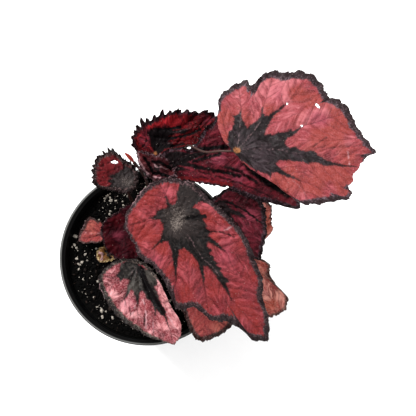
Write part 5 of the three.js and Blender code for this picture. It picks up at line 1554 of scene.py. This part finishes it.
def rhizome_point(along, lean):
    """A point near the rhizome's skin and the direction pointing out of it."""
    turn = math.radians(RHIZOME_AZIMUTH)
    tilt = math.radians(lean)
    axis = np.array([math.cos(turn), math.sin(turn), 0])
    sideways = np.array([-math.sin(turn), math.cos(turn), 0])
    out = math.cos(tilt) * np.array([0, 0, 1]) + math.sin(tilt) * sideways
    return np.array(RHIZOME_CENTRE) + along * axis + out * (RHIZOME_RADIUS + 0.3), out


def petiole(name, stalk, end, upward, tree, flesh):
    """A petiole from the rhizome to its end point: swollen at its foot, slightly spread at its top."""
    foot, out = rhizome_point(stalk["along"], stalk["lean"])
    corners = [foot - 1.5 * out, foot + 3 * out, *map(np.array, stalk["through"]),
               end - 1.5 * stalk["radius"] * upward, end]
    line = curve_between(corners, STALK_POINTS)
    run = run_along(line)
    foot_swell = 0.45 * np.exp(-((run / 3.5) ** 2))
    top_swell = 0.25 * np.exp(-(((run[-1] - run) / 1.5) ** 2))
    thick = stalk["radius"] * (0.95 + foot_swell + top_swell)
    route = line_object(name + "_line", line, thick)
    tube = grow(name, route, tree, Flesh=flesh)
    bpy.data.objects.remove(route)
    return tube


def rhizome_body(name):
    """The creeping stem: a lumpy capsule ringed by the scars of old leaves."""
    around, along = 56, 90
    half = RHIZOME_LENGTH / 2 + RHIZOME_RADIUS
    x = -half * np.cos(np.linspace(0, math.pi, along))
    past = np.maximum(np.abs(x) - RHIZOME_LENGTH / 2, 0)
    radius = np.sqrt(np.maximum(RHIZOME_RADIUS**2 - past**2, 0.0))
    angle = np.linspace(0, 2 * math.pi, around, endpoint=False)
    grid_x, grid_angle = np.meshgrid(x[1:-1], angle, indexing="ij")
    base = np.repeat(radius[1:-1, None], around, axis=1)
    scar = np.sin(grid_x * 2 * math.pi / 4.3 + 1.2 * np.sin(grid_angle)) ** 8
    lump = wobble(grid_x, grid_angle * RHIZOME_RADIUS, 3, 5)
    shell = base * (1 - 0.04 * scar + 0.035 * lump)
    body = np.stack([grid_x, shell * np.cos(grid_angle), shell * np.sin(grid_angle)], axis=-1)
    body = body.reshape(-1, 3)
    body = np.vstack([body, [[x[0], 0, 0], [x[-1], 0, 0]]])
    faces = [face[::-1] for face in ring_faces(along - 2, around, len(body) - 2, len(body) - 1)]
    points = body @ turn_about_z(RHIZOME_AZIMUTH) + np.array(RHIZOME_CENTRE)
    return link_mesh(name, points * MM, faces)


def bud_spindle(name):
    """A rolled young leaf still in its bract: a pointed spindle with a spiral overlap and ribs."""
    foot, tip = np.array(BUD_FOOT, float), np.array(BUD_TIP, float)
    axis = tip - foot
    length = np.linalg.norm(axis)
    axis /= length
    across = np.cross(axis, [0, 0, 1])
    across /= np.linalg.norm(across)
    third = np.cross(axis, across)
    rings, around = 40, 32
    h = np.linspace(0, 1, rings)[1:-1, None]
    angle = np.linspace(0, 2 * math.pi, around, endpoint=False)[None, :]
    outline = np.interp(h, [0, 0.08, 0.2, 0.42, 0.75, 0.92, 1], [0, 0.5, 0.82, 1, 0.68, 0.3, 0])
    overlap = 0.12 * ((angle / (2 * math.pi) + 0.9 * h) % 1)
    rib = 0.05 * np.cos(6 * (angle + 1.6 * h))
    radius = BUD_RADIUS * outline * (0.93 + overlap + rib)
    bow = 0.35 * np.sin(math.pi * h)
    body = (foot + axis * (h * length)[..., None] + across * (radius * np.cos(angle) + bow)[..., None]
            + third * (radius * np.sin(angle))[..., None]).reshape(-1, 3)
    body = np.vstack([body, foot, tip])
    faces = ring_faces(rings - 2, around, len(body) - 2, len(body) - 1)
    return face_outwards(link_mesh(name, body * MM, faces))


def face_outwards(thing):
    """Turns every face of a closed piece outwards."""
    work = bmesh.new()
    work.from_mesh(thing.data)
    bmesh.ops.recalc_face_normals(work, faces=work.faces)
    work.to_mesh(thing.data)
    work.free()
    return thing


# ---------------------------------------------------------------- pot and soil

def wall_radius(height):
    """Outside radius of the pot's tapering wall."""
    return BASE_RADIUS + (RIM_RADIUS - RIM_LIP_WIDTH - BASE_RADIUS) * height / POT_HEIGHT


def turned_body(name, profile, segments, sharp=35):
    """A closed solid of revolution from (radius, height) points that start and end on the axis."""
    profile = np.array(profile, float)
    angle = np.linspace(0, 2 * math.pi, segments, endpoint=False)
    middle = profile[1:-1]
    body = np.stack([
        middle[:, None, 0] * np.cos(angle), middle[:, None, 0] * np.sin(angle),
        np.repeat(middle[:, 1:], segments, axis=1),
    ], axis=-1).reshape(-1, 3)
    body = np.vstack([body, [[0, 0, profile[0, 1]], [0, 0, profile[-1, 1]]]])
    faces = ring_faces(len(middle), segments, len(body) - 2, len(body) - 1)
    return link_mesh(name, body * MM, faces, sharp=sharp)


def pot_blank(name):
    """The pot before its holes, from (radius, height) points: foot ring, tapering wall, stepped rim
    band and rolled lip."""
    step = POT_HEIGHT - RIM_BAND_HEIGHT
    outside = [(0, 0.6), (31.2, 0.6), (32.4, 0.45), (33, 0), (36.1, 0), (36.7, 0.25), (37.1, 0.9)]
    outside += [(wall_radius(z), z) for z in np.linspace(3, step - 1.6, 24)]
    outside += [(wall_radius(step) + 0.1, step - 0.6), (wall_radius(step) + 0.55, step - 0.1)]
    outside += [(51.05, step + 0.15), (51.3, step + 0.5), (51.42, step + 1.2)]
    lip = [
        (-0.6, 4.5), (-0.3, 2), (-0.08, 1.3), (0, 0.8), (-0.1, 0.35), (-0.4, 0.08), (-0.8, 0),
        (-1.3, 0.04), (-1.7, 0.2), (-2, 0.6),
    ]
    outside += [(RIM_RADIUS + inwards, POT_HEIGHT - below) for inwards, below in lip]
    inside = [(wall_radius(z) - WALL, z) for z in np.linspace(86.5, 3, 16)]
    inside += [(36.2, 2.2), (35.6, 1.75), (34.8, 1.6), (0, 1.6)]
    return face_outwards(turned_body(name, outside + inside, 160))


def soil_height(x, y):
    """Height of the loose soil surface, with clods on top of the broad ripple."""
    broad = np.sin(x * 0.21 + 1.3) * np.cos(y * 0.17)
    fine = np.sin(x * 0.63 + y * 0.37) * np.sin(y * 0.71)
    clods = 0.35 * wobble(x, y, 3.2, 21) + 0.3 * np.abs(wobble(x, y, 1.4, 22)) + 0.2 * wobble(x, y, 0.8, 23)
    return SOIL_TOP + SOIL_RIPPLE * (0.6 * broad + 0.4 * fine) + clods


def soil_body(name):
    """The filling of the pot: an uneven crumbly top over plain sides and floor."""
    around, rings = 300, 150
    outermost = wall_radius(SOIL_TOP) - WALL - SOIL_GAP
    x, y = polar_grid(rings, around, outermost)
    top = np.stack([x, y, soil_height(x, y)], axis=-1)
    top[-1, :, 2] -= 0.5
    foot_x, foot_y = polar_grid(1, around, wall_radius(SOIL_FOOT) - WALL - SOIL_GAP)
    foot = np.stack([foot_x[0], foot_y[0], np.full(around, SOIL_FOOT)], axis=-1)
    centre = [[0, 0, float(soil_height(np.array(0.0), np.array(0.0)))], [0, 0, SOIL_FOOT]]
    points = np.vstack([top.reshape(-1, 3), foot, centre])
    faces = ring_faces(rings + 1, around, len(points) - 2, len(points) - 1)
    return link_mesh(name, points * MM, faces, sharp=0)


# Where watering has washed the perlite together: x, y, radius and how much of it.
PERLITE_HEAPS = [(-22.5, 37, 7, 1.0), (-33, 22, 4, 0.7), (-38, -4, 8, 0.12), (-26, -30, 9, 0.1)]


def open_soil(name):
    """The soil's top surface alone, which the loose grains are strewn on."""
    around, rings = 90, 30
    x, y = polar_grid(rings, around, wall_radius(SOIL_TOP) - WALL - GRAIN_MARGIN)
    points = np.vstack([np.stack([x, y, soil_height(x, y)], axis=-1).reshape(-1, 3), [[0, 0, SOIL_TOP]]])
    surface = link_mesh(name, points * MM, ring_faces(rings, around, len(points) - 1), sharp=0)
    bare = 0.86 - spots(PERLITE_HEAPS, points[:, 0], points[:, 1])
    mark(surface.data, "bare", np.clip(bare, 0, 1))
    return surface


GRAINS = {
    # what it is: finish, its sizes in the tree
    "perlite_grains": ("perlite", dict(
        Grains_per_area=2.2e5, Spacing=1.7 * MM, Thinned=1.0, Largest=1.5 * MM, Smallest_share=0.2,
        Width_share=0.7, Thickness_share=0.55, Lumps=1.5 * MM, Lump_size=1.3 * MM, Sink=0.0,
        Roundness=3, Seed=3)),
    "perlite_dust": ("perlite", dict(
        Grains_per_area=3.6e5, Spacing=0.9 * MM, Thinned=0.9, Largest=0.5 * MM, Smallest_share=0.3,
        Width_share=0.7, Thickness_share=0.6, Lumps=0.45 * MM, Lump_size=0.5 * MM, Sink=-0.1 * MM,
        Roundness=2, Seed=9)),
    "peat_crumbs": ("peat", dict(
        Grains_per_area=6.0e5, Spacing=0.9 * MM, Largest=1.3 * MM, Smallest_share=0.3, Width_share=0.8,
        Thickness_share=0.7, Lumps=0.9 * MM, Lump_size=0.8 * MM, Sink=0.1 * MM, Roundness=2, Seed=4)),
    "bark_chips": ("bark", dict(
        Grains_per_area=3.0e4, Spacing=3.5 * MM, Largest=2.3 * MM, Smallest_share=0.35, Width_share=0.5,
        Thickness_share=0.25, Lumps=0.7 * MM, Lump_size=1.2 * MM, Sink=0.0, Roundness=2, Seed=5)),
    "peat_fibres": ("bark", dict(
        Grains_per_area=3.0e4, Spacing=2.0 * MM, Largest=3.2 * MM, Smallest_share=0.3, Width_share=0.06,
        Thickness_share=0.06, Lumps=0.8 * MM, Lump_size=2.2 * MM, Sink=-0.2 * MM, Roundness=2, Seed=6)),
}


# ---------------------------------------------------------------- putting the plant together

def add_floor(finish):
    """A wide pale sweep that the pot stands on."""
    side = 3.0
    corners = [(-side, -side, 0), (side, -side, 0), (side, side, 0), (-side, side, 0)]
    floor = link_mesh("studio_floor", corners, [(0, 1, 2, 3)], sharp=0)
    floor.data.materials.append(finish)


def settle(piece, node, replaced=True):
    """The piece rides on the plant's one body and, where it replaces a node, takes that node's place by
    hiding it.
    """
    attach(piece, "root")
    if replaced:
        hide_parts(node)


finishes = make_finishes()
add_camera()
add_lights()
add_floor(finishes["floor"])

petioles, hairs, grains = petiole_tree(), hair_tree(), grain_tree()

for seed, leaf in enumerate(LEAVES, 1):
    node = leaf["name"] if "stalk" not in leaf else leaf["name"] + "_blade"
    blade, joint, upward = leaf_blade(leaf, seed)
    blade.data.materials.append(finishes[leaf["finish"]])
    blade.data.materials.append(finishes["underside" if "stalk" in leaf else "withered"])
    if "stalk" in leaf:
        fringe = grow(
            leaf["name"] + "_hairs", blade, hairs, Hairs_per_area=1.0e6, Hair_length=0.9 * MM,
            Hair_radius=0.04 * MM, Lean=0.75, Seed=seed, Keratin=finishes["hair"],
        )
        settle(fringe, node, replaced=False)
        stalk_node = leaf["name"] + "_petiole"
        stalk = petiole("living_" + stalk_node, leaf["stalk"], joint, upward, petioles, finishes["stalk"])
        settle(stalk, stalk_node)
    settle(blade, node)

bud_axis = np.array(BUD_TIP) - np.array(BUD_FOOT)
bud_axis /= np.linalg.norm(bud_axis)
bud = bud_spindle("rolled_red_bud")
bud.data.materials.append(finishes["bud"])
settle(bud, "red_bud")
bud_stalk = petiole(
    "living_red_bud_stalk", BUD_STALK, np.array(BUD_FOOT) + 0.2 * bud_axis, bud_axis, petioles,
    finishes["stalk"],
)
settle(bud_stalk, "red_bud_stalk")

rhizome = face_outwards(rhizome_body("scarred_rhizome"))
rhizome.data.materials.append(finishes["rhizome"])
settle(rhizome, "rhizome")

blank = pot_blank("pot_blank")
pot = grow("moulded_nursery_pot", blank, drilled_tree(), Holes=DRAIN_COUNT,
           Ring_radius=DRAIN_RING_RADIUS * MM, Hole_radius=DRAIN_RADIUS * MM, Plastic=finishes["plastic"])
bpy.data.objects.remove(blank)
settle(pot, "nursery_pot")

soil = soil_body("peaty_potting_soil")
soil.data.materials.append(finishes["peat"])
settle(soil, "potting_soil")
surface = open_soil("open_soil")
for name, (finish, sizes) in GRAINS.items():
    strewn = grow(name, surface, grains, Matter=finishes[finish], **sizes)
    settle(strewn, "potting_soil", replaced=False)
bpy.data.objects.remove(surface)

bpy.context.view_layer.update()
